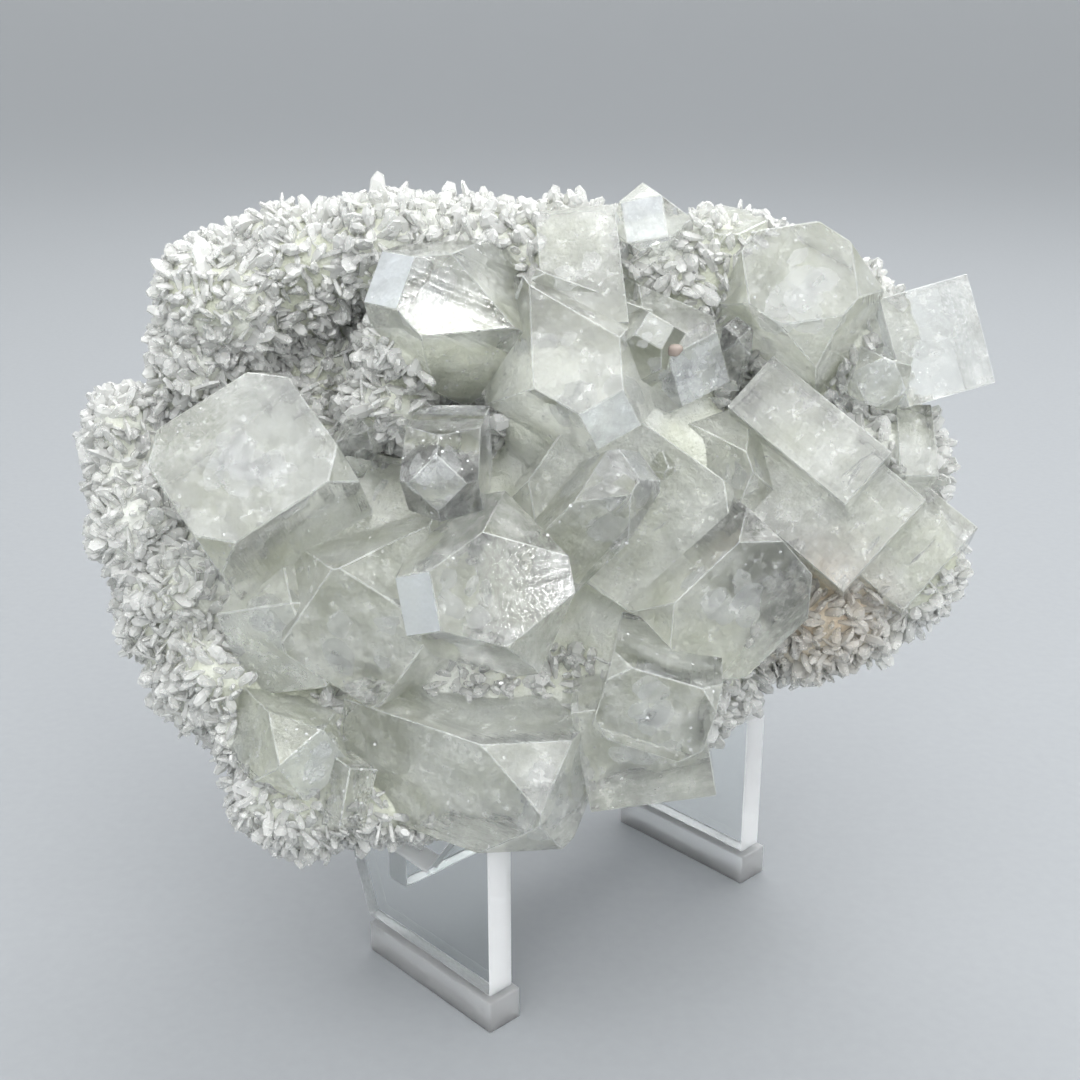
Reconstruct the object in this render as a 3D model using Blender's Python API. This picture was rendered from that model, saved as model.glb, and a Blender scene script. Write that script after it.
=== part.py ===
"""A cluster of clear apophyllite crystals on a crust of small blades, on a clear two-legged stand.

The cluster is written in its own face frame: u runs to the right, v up its face and w out of the
face towards the viewer. It then leans back on the stand, which stands on the table plane z = 0.
The tables below are in millimetres and degrees, and MM turns them into metres.
"""

import math
import random
from typing import NamedTuple

import bmesh
import bpy
from mathutils import Matrix, Vector, noise

MM = 0.001

# Where the cluster sits: its face centre above the table, and how far it leans back
FACE_HEIGHT = 49.5 * MM
LEAN = math.radians(20.0)

# Apophyllite is a square prism. Its pyramid faces cut the corners this far from the long axis.
PYRAMID_TILT = math.radians(60.4)

# The rough ground mass under the crystals
GROUND_VOXEL = 2.2 * MM
GROUND_ROUGHNESS = 1.6 * MM
GROUND_NOISE_SCALE = 95.0
GROUND_NOISE_OCTAVES = 3
GROUND_KEEP = 0.22

# The blades of the crust
BLADE_SEED = 11
BLADE_SPACING = 3.1 * MM
BLADE_LENGTH = (1.5 * MM, 2.7 * MM)
BLADE_WIDTH = (1.7 * MM, 2.6 * MM)
BLADE_FLATNESS = 0.6
BLADE_ROOT = 1.0 * MM
BLADE_TAPER = 0.55
BLADE_LEAN = 0.5
BLADE_CLEARANCE = 1.0 * MM
BLADE_TRIES = 9000
BLADE_MOST = 250
BACK_DEPTH = -7.0 * MM
BACK_SPACING = 6.0 * MM

# The small gap that shows the background below the crown: centre, half sizes and turn in the face
WINDOW_CENTRE = (-9.6, 13.4)
WINDOW_HALF = (3.4, 1.9)
WINDOW_TURN = math.radians(-12.0)
WINDOW_SIDES = 9
WINDOW_DEPTH = 60 * MM

# The stand: two upright legs of clear sheet, each on a foot strip, joined by a bar under the cluster.
# The legs are turned against the cluster's face. LIP and SEAT are how far back and how high the
# corners of a leg's top edge are.
SHEET = 3.2 * MM
FOOT_HEIGHT = 3.8 * MM
FOOT_OVERHANG = 0.6 * MM
FOOT_LENGTH = 20.0 * MM
BACK_LEAN = math.radians(20.0)
LIP = (5.0 * MM, 22.4 * MM)
SEAT = (10.5 * MM, 15.0 * MM)
HEEL_HEIGHT = 15.6 * MM
BAR_BACK = 19.5 * MM
BAR_BOTTOM = 9.4 * MM
BAR_HEIGHT = 5.0 * MM
STAND_TURN = math.radians(133.4)
LEFT_FRONT = (-4.2 * MM, -18.6 * MM)
LEG_SPACING = 42.4 * MM
GAP = 0.3 * MM


class Crystal(NamedTuple):
    """One crystal, placed by the centre of its end facet.

    heading is the direction of its long axis in the face, from u towards v, and tip is how far
    that axis leans from w. spin turns the square about the axis. half holds the half widths.
    facet is how far from the axis the pyramid faces meet the end facet.
    """

    name: str
    end: tuple
    heading: float
    tip: float
    spin: float
    half: tuple
    length: float
    facet: float


CRYSTALS = (
    Crystal("crown", (-15.2, 26.2, 14.0), 160, 45, 45, (6.2, 6.2), 16.0, 2.8),
    Crystal("left block", (-29.6, 8.4, 16.0), 100, 22, 26, (7.8, 8.3), 16.0, 9.2),
    Crystal("small clear", (-9.8, 5.4, 22.0), 260, 15, 10, (4.3, 3.8), 14.0, 2.0),
    Crystal("heart", (-12.0, -6.3, 18.0), 191, 50, 45, (8.2, 8.2), 12.0, 3.0),
    Crystal("heart left", (-18.7, -10.1, 13.0), 250, 25, 30, (8.0, 8.0), 16.0, 6.0),
    Crystal("green recess", (-17.5, 3.2, 6.0), 80, 30, 0, (7.0, 7.0), 12.0, 8.0),
    Crystal("lower left", (-28.0, -11.5, 9.0), 230, 35, 10, (7.0, 7.0), 12.0, 5.0),
    Crystal("bottom", (3.4, -25.8, 10.5), 345, 65, 25, (7.0, 6.5), 24.0, 5.5),
    Crystal("foot clear", (11.3, -17.2, 18.0), 250, 20, 4, (4.2, 5.6), 14.0, 5.5),
    Crystal("foot block", (10.6, -21.9, 12.0), 260, 20, 20, (5.8, 6.6), 14.0, 9.0),
    Crystal("lower right", (20.6, -7.3, 12.0), 310, 25, 4, (6.2, 7.9), 18.0, 7.5),
    Crystal("slanted", (10.0, 7.5, 15.0), 45, 65, 20, (4.0, 3.6), 16.0, 2.0),
    Crystal("centre", (7.0, 11.9, 16.0), 300, 40, 45, (7.0, 7.0), 16.0, 2.5),
    Crystal("centre top", (4.2, 28.6, 9.0), 95, 25, 0, (7.5, 4.3), 14.0, 9.0),
    Crystal("centre middle", (3.6, 20.3, 9.0), 250, 15, 0, (6.0, 6.5), 12.0, 8.0),
    Crystal("dome", (11.6, 21.1, 14.0), 60, 20, 45, (3.5, 4.0), 12.0, 1.5),
    Crystal("fractured", (16.5, 17.6, 10.0), 320, 35, 20, (5.5, 5.5), 12.0, 3.0),
    Crystal("mirror", (10.9, 33.6, 8.0), 200, 15, 33, (3.0, 3.4), 12.0, 2.2),
    Crystal("top right", (20.1, 34.8, 2.0), 95, 60, 0, (5.0, 4.5), 12.0, 4.0),
    Crystal("upper right", (26.5, 27.3, 12.0), 120, 20, 21, (6.5, 5.8), 16.0, 5.5),
    Crystal("far right", (42.2, 21.2, 6.0), 0, 5, 16, (5.0, 6.0), 14.0, 9.0),
    Crystal("small six", (35.6, 16.5, 8.0), 240, 15, 10, (2.6, 2.9), 12.0, 2.2),
    Crystal("blade", (40.2, 10.7, 5.0), 90, 20, 0, (4.2, 2.0), 12.0, 5.0),
    Crystal("stair one", (34.3, 5.5, 8.0), 318, 75, 0, (4.5, 3.6), 16.0, 9.0),
    Crystal("stair two", (36.8, -1.4, 4.5), 318, 75, 0, (5.0, 6.5), 22.0, 9.0),
    Crystal("stair three", (43.6, -4.0, 0.5), 318, 75, 0, (5.0, 6.0), 20.0, 9.0),
    Crystal("between", (17.0, 6.4, 6.0), 200, 30, 0, (6.0, 6.0), 10.0, 5.0),
    Crystal("splinter", (-23.0, -23.0, 12.0), 330, 40, 20, (4.0, 4.0), 12.0, 3.0),
    Crystal("tablet", (-18.5, -26.3, 12.5), 340, 35, 10, (1.6, 3.2), 9.0, 4.0),
    Crystal("slip", (-18.0, 12.6, 6.5), 55, 60, 20, (1.6, 2.2), 9.0, 1.0),
    Crystal("chip", (20.5, 22.0, 10.0), 80, 30, 10, (1.7, 1.7), 9.0, 1.0),
    Crystal("spark", (13.6, 8.4, 10.5), 30, 45, 30, (1.8, 1.6), 8.0, 1.0),
)

# The ground mass as overlapping rounded lumps: centre and half sizes along u, v and w
LUMPS = (
    ((-34.0, 26.0, -3.0), (7.5, 7.0, 9.0)),
    ((-26.5, 30.0, -3.0), (8.0, 7.0, 9.0)),
    ((-17.0, 31.5, -3.0), (9.0, 6.0, 9.0)),
    ((-8.0, 31.5, -3.0), (9.0, 6.0, 9.0)),
    ((2.0, 31.0, -3.0), (9.0, 6.0, 9.0)),
    ((-38.0, 19.0, -4.0), (5.5, 6.0, 8.0)),
    ((-24.0, 18.5, -9.0), (12.0, 10.0, 6.0)),
    ((-46.0, 11.0, -5.0), (4.5, 5.5, 7.0)),
    ((-44.0, 3.0, -5.0), (6.0, 8.0, 9.0)),
    ((-38.0, -6.0, -5.0), (9.0, 9.0, 10.0)),
    ((-33.0, -14.0, -4.0), (10.0, 8.0, 11.0)),
    ((-25.0, -20.0, -3.0), (11.0, 7.0, 11.0)),
    ((-26.0, -28.0, 0.0), (7.0, 5.5, 9.0)),
    ((-16.0, -28.0, -1.0), (8.0, 5.0, 9.0)),
    ((-3.0, -17.0, -5.0), (16.0, 12.0, 12.0)),
    ((12.0, -13.0, -5.0), (13.0, 11.0, 12.0)),
    ((-8.0, -2.0, -6.0), (22.0, 14.0, 11.0)),
    ((10.0, 8.0, -4.0), (14.0, 14.0, 12.0)),
    ((-11.0, 20.5, 2.0), (8.0, 5.0, 8.0)),
    ((-17.0, 14.0, 1.0), (4.5, 4.2, 7.0)),
    ((2.0, 14.0, 0.0), (7.0, 7.0, 9.0)),
    ((18.0, 29.0, -4.0), (12.0, 8.0, 10.0)),
    ((31.0, 22.0, -5.0), (11.0, 9.0, 10.0)),
    ((33.0, 8.0, -6.0), (13.0, 10.0, 11.0)),
    ((38.0, -2.0, -6.0), (9.0, 8.0, 9.0)),
    ((30.0, -9.0, -5.0), (9.0, 6.0, 9.0)),
    ((18.0, -13.6, -19.0), (9.0, 8.0, 9.0)),
    ((2.0, 0.0, -12.0), (24.0, 15.0, 9.0)),
    ((8.0, 21.0, -9.0), (24.0, 9.0, 7.0)),
    ((-30.0, 9.0, -8.0), (14.0, 12.0, 7.0)),
    ((-22.0, -10.0, -11.0), (15.0, 10.0, 7.0)),
    ((30.0, 8.0, -11.0), (12.0, 13.0, 8.0)),
)


def clear_scene() -> None:
    """Remove every object that the file holds."""
    for obj in list(bpy.data.objects):
        bpy.data.objects.remove(obj, do_unlink=True)


def make_material(
    name: str, colour: tuple, roughness: float, transmission: float, ior: float
) -> bpy.types.Material:
    """Return a Principled material.

    Args:
        name: The material's name.
        colour: Linear red, green and blue.
        roughness: Surface roughness.
        transmission: Share of light that passes through.
        ior: Index of refraction.
    """
    material = bpy.data.materials.new(name)
    material.use_nodes = True
    shader = material.node_tree.nodes["Principled BSDF"]
    shader.inputs["Base Color"].default_value = (*colour, 1.0)
    shader.inputs["Roughness"].default_value = roughness
    shader.inputs["Metallic"].default_value = 0.0
    shader.inputs["Transmission Weight"].default_value = transmission
    shader.inputs["IOR"].default_value = ior
    return material


def object_from_bmesh(name: str, bm: bmesh.types.BMesh) -> bpy.types.Object:
    """Turn a bmesh into a linked object, and free the bmesh."""
    bmesh.ops.recalc_face_normals(bm, faces=bm.faces[:])
    mesh = bpy.data.meshes.new(name)
    bm.to_mesh(mesh)
    bm.free()
    obj = bpy.data.objects.new(name, mesh)
    bpy.context.collection.objects.link(obj)
    return obj


def evaluated_mesh(obj: bpy.types.Object) -> bpy.types.Mesh:
    """Return a new mesh of the object with its modifiers applied."""
    depsgraph = bpy.context.evaluated_depsgraph_get()
    return bpy.data.meshes.new_from_object(obj.evaluated_get(depsgraph))


def crystal_axes(crystal: Crystal) -> Matrix:
    """Return the turn from the crystal's own axes to the face frame."""
    heading = math.radians(crystal.heading)
    tip = math.radians(crystal.tip)
    spin = math.radians(crystal.spin)
    return Matrix.Rotation(heading, 4, "Z") @ Matrix.Rotation(tip, 4, "Y") @ Matrix.Rotation(spin, 4, "Z")


def crystal_place(crystal: Crystal) -> Matrix:
    """Return the placement of a crystal whose end facet is at its own origin."""
    return Matrix.Translation(Vector(crystal.end) * MM) @ crystal_axes(crystal)


def pyramid_normals() -> list:
    """Return the outward directions of the four pyramid faces, in the crystal's own axes."""
    normals = []
    for quarter in range(4):
        azimuth = math.radians(45 + 90 * quarter)
        side = math.sin(PYRAMID_TILT)
        normals.append(Vector((side * math.cos(azimuth), side * math.sin(azimuth), math.cos(PYRAMID_TILT))))
    return normals


def add_crystal(bm: bmesh.types.BMesh, crystal: Crystal) -> None:
    """Add a square prism with its corners cut by the pyramid faces."""
    body = bmesh.new()
    bmesh.ops.create_cube(body, size=1.0)
    width, depth = (2 * half * MM for half in crystal.half)
    length = crystal.length * MM
    bmesh.ops.scale(body, verts=body.verts[:], vec=(width, depth, length))
    bmesh.ops.translate(body, verts=body.verts[:], vec=(0, 0, -length / 2))
    reach = crystal.facet * MM * math.sin(PYRAMID_TILT)
    for normal in pyramid_normals():
        geometry = body.verts[:] + body.edges[:] + body.faces[:]
        cut = bmesh.ops.bisect_plane(
            body, geom=geometry, plane_co=normal * reach, plane_no=normal, clear_outer=True
        )
        rim = [item for item in cut["geom_cut"] if isinstance(item, bmesh.types.BMEdge)]
        if rim:
            bmesh.ops.contextual_create(body, geom=rim)
    body.transform(crystal_place(crystal))
    mesh = bpy.data.meshes.new("crystal")
    body.to_mesh(mesh)
    body.free()
    bm.from_mesh(mesh)
    bpy.data.meshes.remove(mesh)


def inside_crystal(point: Vector, crystal: Crystal, margin: float) -> bool:
    """Say whether a point in the face frame is in the crystal or within margin of it."""
    local = crystal_place(crystal).inverted() @ point
    half_width, half_depth = (half * MM + margin for half in crystal.half)
    if abs(local.x) > half_width or abs(local.y) > half_depth:
        return False
    if local.z > margin or local.z < -crystal.length * MM - margin:
        return False
    reach = crystal.facet * MM * math.sin(PYRAMID_TILT) + margin
    return all(normal.dot(local) <= reach for normal in pyramid_normals())


def make_ground() -> bpy.types.Object:
    """Melt the lumps into one rough closed body."""
    bm = bmesh.new()
    for centre, half in LUMPS:
        made = bmesh.ops.create_icosphere(bm, subdivisions=3, radius=1.0)
        place = Matrix.Translation(Vector(centre) * MM) @ Matrix.Diagonal((*(h * MM for h in half), 1.0))
        bmesh.ops.transform(bm, matrix=place, verts=made["verts"])
    ground = object_from_bmesh("ground", bm)
    remesh = ground.modifiers.new("melt", "REMESH")
    remesh.mode = "VOXEL"
    remesh.voxel_size = GROUND_VOXEL
    melted = evaluated_mesh(ground)
    ground.modifiers.remove(remesh)
    ground.data = melted
    for vertex in melted.vertices:
        swell = noise.fractal(vertex.co * GROUND_NOISE_SCALE, 1.0, 2.0, GROUND_NOISE_OCTAVES)
        vertex.co += vertex.normal * (swell * GROUND_ROUGHNESS)
    thin = ground.modifiers.new("thin", "DECIMATE")
    thin.ratio = GROUND_KEEP
    ground.data = evaluated_mesh(ground)
    ground.modifiers.remove(thin)
    return ground


def ground_points(ground: bpy.types.Object, chance: random.Random) -> list:
    """Scatter points evenly over the ground, each with the direction out of it."""
    faces = list(ground.data.polygons)
    areas = [face.area for face in faces]
    points = []
    for face in chance.choices(faces, weights=areas, k=BLADE_TRIES):
        corners = [ground.data.vertices[index].co for index in face.vertices]
        shares = [chance.random() for _ in corners]
        total = sum(shares)
        point = sum((corner * (share / total) for corner, share in zip(corners, shares)), Vector())
        points.append((point, face.normal.copy()))
    return points


def blade_places(ground: bpy.types.Object, chance: random.Random) -> list:
    """Pick where blades grow: bare ground, evenly spaced, clear of the crystals."""
    places = []
    reach = BLADE_LENGTH[1]
    for spot, outward in ground_points(ground, chance):
        tip = spot + outward * reach
        spacing = BACK_SPACING if spot.z < BACK_DEPTH else BLADE_SPACING
        near_root = any((spot - other).length < spacing for other, _ in places)
        if near_root or any((tip - other - way * reach).length < spacing for other, way in places):
            continue
        if any(inside_crystal(p, c, BLADE_CLEARANCE) for c in CRYSTALS for p in (spot, tip)):
            continue
        places.append((spot, outward))
        if len(places) == BLADE_MOST:
            break
    return places


def add_blade(bm: bmesh.types.BMesh, spot: Vector, outward: Vector, chance: random.Random) -> None:
    """Add one flat, blunt blade that grows out of the ground at spot."""
    length = chance.uniform(*BLADE_LENGTH)
    width = chance.uniform(*BLADE_WIDTH)
    lean = Vector([chance.uniform(-BLADE_LEAN, BLADE_LEAN) for _ in range(3)])
    growth = (outward + lean).normalized()
    turn = Matrix.Rotation(chance.uniform(0, math.pi), 4, growth)
    frame = turn @ growth.to_track_quat("Z", "Y").to_matrix().to_4x4()
    made = bmesh.ops.create_cube(bm, size=1.0)
    for vertex in made["verts"]:
        is_tip = vertex.co.z > 0
        shrink = BLADE_TAPER if is_tip else 1.0
        vertex.co.x *= width * shrink
        vertex.co.y *= width * BLADE_FLATNESS * shrink
        vertex.co.z = length if is_tip else -BLADE_ROOT
    place = Matrix.Translation(spot) @ frame
    bmesh.ops.transform(bm, matrix=place, verts=made["verts"])


def open_window(ground: bpy.types.Object) -> None:
    """Cut the small gap right through the ground."""
    bm = bmesh.new()
    bmesh.ops.create_cone(
        bm, cap_ends=True, segments=WINDOW_SIDES, radius1=1.0, radius2=1.0, depth=WINDOW_DEPTH
    )
    place = Matrix.Translation(Vector((*WINDOW_CENTRE, 0.0)) * MM) @ Matrix.Rotation(WINDOW_TURN, 4, "Z")
    shape = Matrix.Diagonal((WINDOW_HALF[0] * MM, WINDOW_HALF[1] * MM, 1.0, 1.0))
    bm.transform(place @ shape)
    cutter = object_from_bmesh("window", bm)
    cut = ground.modifiers.new("window", "BOOLEAN")
    cut.operation = "DIFFERENCE"
    cut.object = cutter
    cut.solver = "EXACT"
    ground.data = evaluated_mesh(ground)
    ground.modifiers.remove(cut)
    bpy.data.objects.remove(cutter, do_unlink=True)


def make_cluster(material: bpy.types.Material) -> bpy.types.Object:
    """Grow the crystals and blades out of the ground, as one solid."""
    ground = make_ground()
    open_window(ground)
    grown = bpy.data.collections.new("grown")
    for crystal in CRYSTALS:
        bm = bmesh.new()
        add_crystal(bm, crystal)
        obj = object_from_bmesh(crystal.name, bm)
        bpy.context.collection.objects.unlink(obj)
        grown.objects.link(obj)
    chance = random.Random(BLADE_SEED)
    for spot, outward in blade_places(ground, chance):
        bm = bmesh.new()
        add_blade(bm, spot, outward, chance)
        obj = object_from_bmesh("blade", bm)
        bpy.context.collection.objects.unlink(obj)
        grown.objects.link(obj)
    union = ground.modifiers.new("union", "BOOLEAN")
    union.operation = "UNION"
    union.operand_type = "COLLECTION"
    union.collection = grown
    union.solver = "EXACT"
    mesh = evaluated_mesh(ground)
    for obj in list(grown.objects):
        bpy.data.objects.remove(obj, do_unlink=True)
    bpy.data.collections.remove(grown)
    bpy.data.objects.remove(ground, do_unlink=True)
    mesh.materials.clear()
    mesh.materials.append(material)
    cluster = bpy.data.objects.new("crystal_cluster", mesh)
    bpy.context.collection.objects.link(cluster)
    cluster.location = (0.0, 0.0, FACE_HEIGHT)
    cluster.rotation_euler = (math.pi / 2 - LEAN, 0.0, 0.0)
    return cluster


def make_plate(
    name: str, outline: list, thickness: float, material: bpy.types.Material
) -> bpy.types.Object:
    """Make an upright plate from its side outline.

    Args:
        name: The object's name.
        outline: Corners in order, each how far back and how high.
        thickness: Thickness across the plate, centred on its outline.
        material: The plate's material.
    """
    bm = bmesh.new()
    near = [bm.verts.new((back, -thickness / 2, height)) for back, height in outline]
    face = bm.faces.new(near)
    swept = bmesh.ops.extrude_face_region(bm, geom=[face])
    moved = [item for item in swept["geom"] if isinstance(item, bmesh.types.BMVert)]
    bmesh.ops.translate(bm, verts=moved, vec=(0, thickness, 0))
    obj = object_from_bmesh(name, bm)
    obj.data.materials.append(material)
    return obj


def leg_outline() -> list:
    """Return the side outline of a leg: an upright front, a lip, a low seat and a leaning back."""
    bottom = FOOT_HEIGHT + GAP
    slope = math.tan(BACK_LEAN)
    return [
        (0.0, bottom),
        (FOOT_LENGTH + bottom * slope, bottom),
        (FOOT_LENGTH + HEEL_HEIGHT * slope, HEEL_HEIGHT),
        SEAT,
        LIP,
        (0.0, LIP[1]),
    ]


def foot_outline() -> list:
    """Return the side outline of a foot strip."""
    front = -FOOT_OVERHANG
    back = FOOT_LENGTH + FOOT_OVERHANG
    return [(front, 0.0), (back, 0.0), (back, FOOT_HEIGHT), (front, FOOT_HEIGHT)]


def make_stand(clear: bpy.types.Material, sawn: bpy.types.Material) -> None:
    """Stand the two legs on their feet, with the bar between them."""
    backward = Vector((math.cos(STAND_TURN), math.sin(STAND_TURN), 0.0))
    across = Vector((math.sin(STAND_TURN), -math.cos(STAND_TURN), 0.0))
    left = Vector((*LEFT_FRONT, 0.0))
    right = left + across * LEG_SPACING
    for side, front in (("left", left), ("right", right)):
        leg = make_plate(f"stand_leg_{side}", leg_outline(), SHEET, clear)
        foot = make_plate(f"stand_foot_{side}", foot_outline(), SHEET + 2 * FOOT_OVERHANG, sawn)
        for piece in (leg, foot):
            piece.location = front
            piece.rotation_euler = (0.0, 0.0, STAND_TURN)
    span = LEG_SPACING - SHEET - 2 * GAP
    top = BAR_BOTTOM + BAR_HEIGHT
    outline = [(0.0, BAR_BOTTOM), (SHEET, BAR_BOTTOM), (SHEET, top), (0.0, top)]
    bar = make_plate("stand_cross_bar", outline, span, clear)
    bar.location = (left + right) / 2 + backward * (BAR_BACK - SHEET)
    bar.rotation_euler = (0.0, 0.0, STAND_TURN)


def centre_on_origin() -> None:
    """Slide everything on the table until its bounding box stands centred on the origin."""
    bpy.context.view_layer.update()
    pieces = list(bpy.data.objects)
    corners = [piece.matrix_world @ Vector(vertex.co) for piece in pieces for vertex in piece.data.vertices]
    for axis in (0, 1):
        values = [corner[axis] for corner in corners]
        middle = (min(values) + max(values)) / 2
        for piece in pieces:
            piece.location[axis] -= middle


def main() -> None:
    """Build the cluster and its stand."""
    clear_scene()
    crystal = make_material("crystal", (0.80, 0.83, 0.78), 0.15, 0.6, 1.535)
    clear = make_material("clear_sheet", (0.93, 0.95, 0.96), 0.05, 1.0, 1.49)
    sawn = make_material("sawn_sheet", (0.85, 0.87, 0.88), 0.4, 0.5, 1.49)
    make_cluster(crystal)
    make_stand(clear, sawn)
    centre_on_origin()


main()
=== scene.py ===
"""An apophyllite crystal cluster on its clear two-leg stand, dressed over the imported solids.

The classes work in millimetres in the frame of the cluster's face: u to the right, v up the face
and w out to the viewer. A finished piece is turned into the row frame, in metres, and rides on the
body.
"""

import logging
import math
import random
from dataclasses import dataclass
from enum import Enum
import bmesh
import bpy
from mathutils import Matrix, Vector, noise


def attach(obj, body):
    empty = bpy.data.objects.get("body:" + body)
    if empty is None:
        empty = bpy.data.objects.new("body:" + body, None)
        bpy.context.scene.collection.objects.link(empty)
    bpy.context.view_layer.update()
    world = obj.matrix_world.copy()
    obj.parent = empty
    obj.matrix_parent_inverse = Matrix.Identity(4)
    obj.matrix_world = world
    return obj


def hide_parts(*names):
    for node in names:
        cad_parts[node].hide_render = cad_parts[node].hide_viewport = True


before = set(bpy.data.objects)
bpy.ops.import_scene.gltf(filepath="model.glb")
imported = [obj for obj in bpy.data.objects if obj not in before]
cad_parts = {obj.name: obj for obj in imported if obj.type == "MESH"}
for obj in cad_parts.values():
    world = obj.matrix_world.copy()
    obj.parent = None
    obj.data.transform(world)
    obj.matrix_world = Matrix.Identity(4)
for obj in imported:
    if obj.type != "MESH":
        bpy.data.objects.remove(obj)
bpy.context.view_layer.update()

log = logging.getLogger("cluster")

MM = 0.001
FACE_CENTRE = (1.843, -2.710, 49.5)
FACE_LEAN = math.radians(20.0)
BODY = "root"
APOPHYLLITE_IOR = 1.535
ACRYLIC_IOR = 1.49

FaceSpot = tuple[float, float, float]


class Clarity(Enum):
    """How a crystal grew: its milky share and its green share."""

    GLASSY = (0.0, 0.05)
    CLEAR = (0.03, 0.15)
    HAZY = (0.07, 0.35)
    MILKY = (0.12, 0.30)
    GREENISH = (0.12, 0.80)


@dataclass(frozen=True)
class Crystal:
    """One big crystal: a square prism whose corners the four pyramid faces cut.

    Args:
        name: What the crystal is called here.
        end: Centre of its end facet in the face frame.
        heading: Direction that it leans to, in degrees from u.
        tip: Lean of its long axis from w, in degrees.
        spin: Turn about its long axis, in degrees.
        half: Half of its width and depth.
        length: Length back from the end facet.
        facet: How far the corners of the end facet reach.
        clarity: How clear it grew.
        frost: How far its end facet is etched, from 0 to 1.
        cracks: How many cleavage cracks it holds.
    """

    name: str
    end: FaceSpot
    heading: float
    tip: float
    spin: float
    half: tuple[float, float]
    length: float
    facet: float
    clarity: Clarity = Clarity.HAZY
    frost: float = 0.0
    cracks: int = 3

    def place(self) -> Matrix:
        """Return the placement of the crystal, whose end facet is at its own origin.

        Returns:
            The placement in the face frame.
        """
        axes = Matrix.Rotation(math.radians(self.heading), 4, "Z")
        axes @= Matrix.Rotation(math.radians(self.tip), 4, "Y")
        axes @= Matrix.Rotation(math.radians(self.spin), 4, "Z")
        return Matrix.Translation(Vector(self.end)) @ axes


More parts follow.
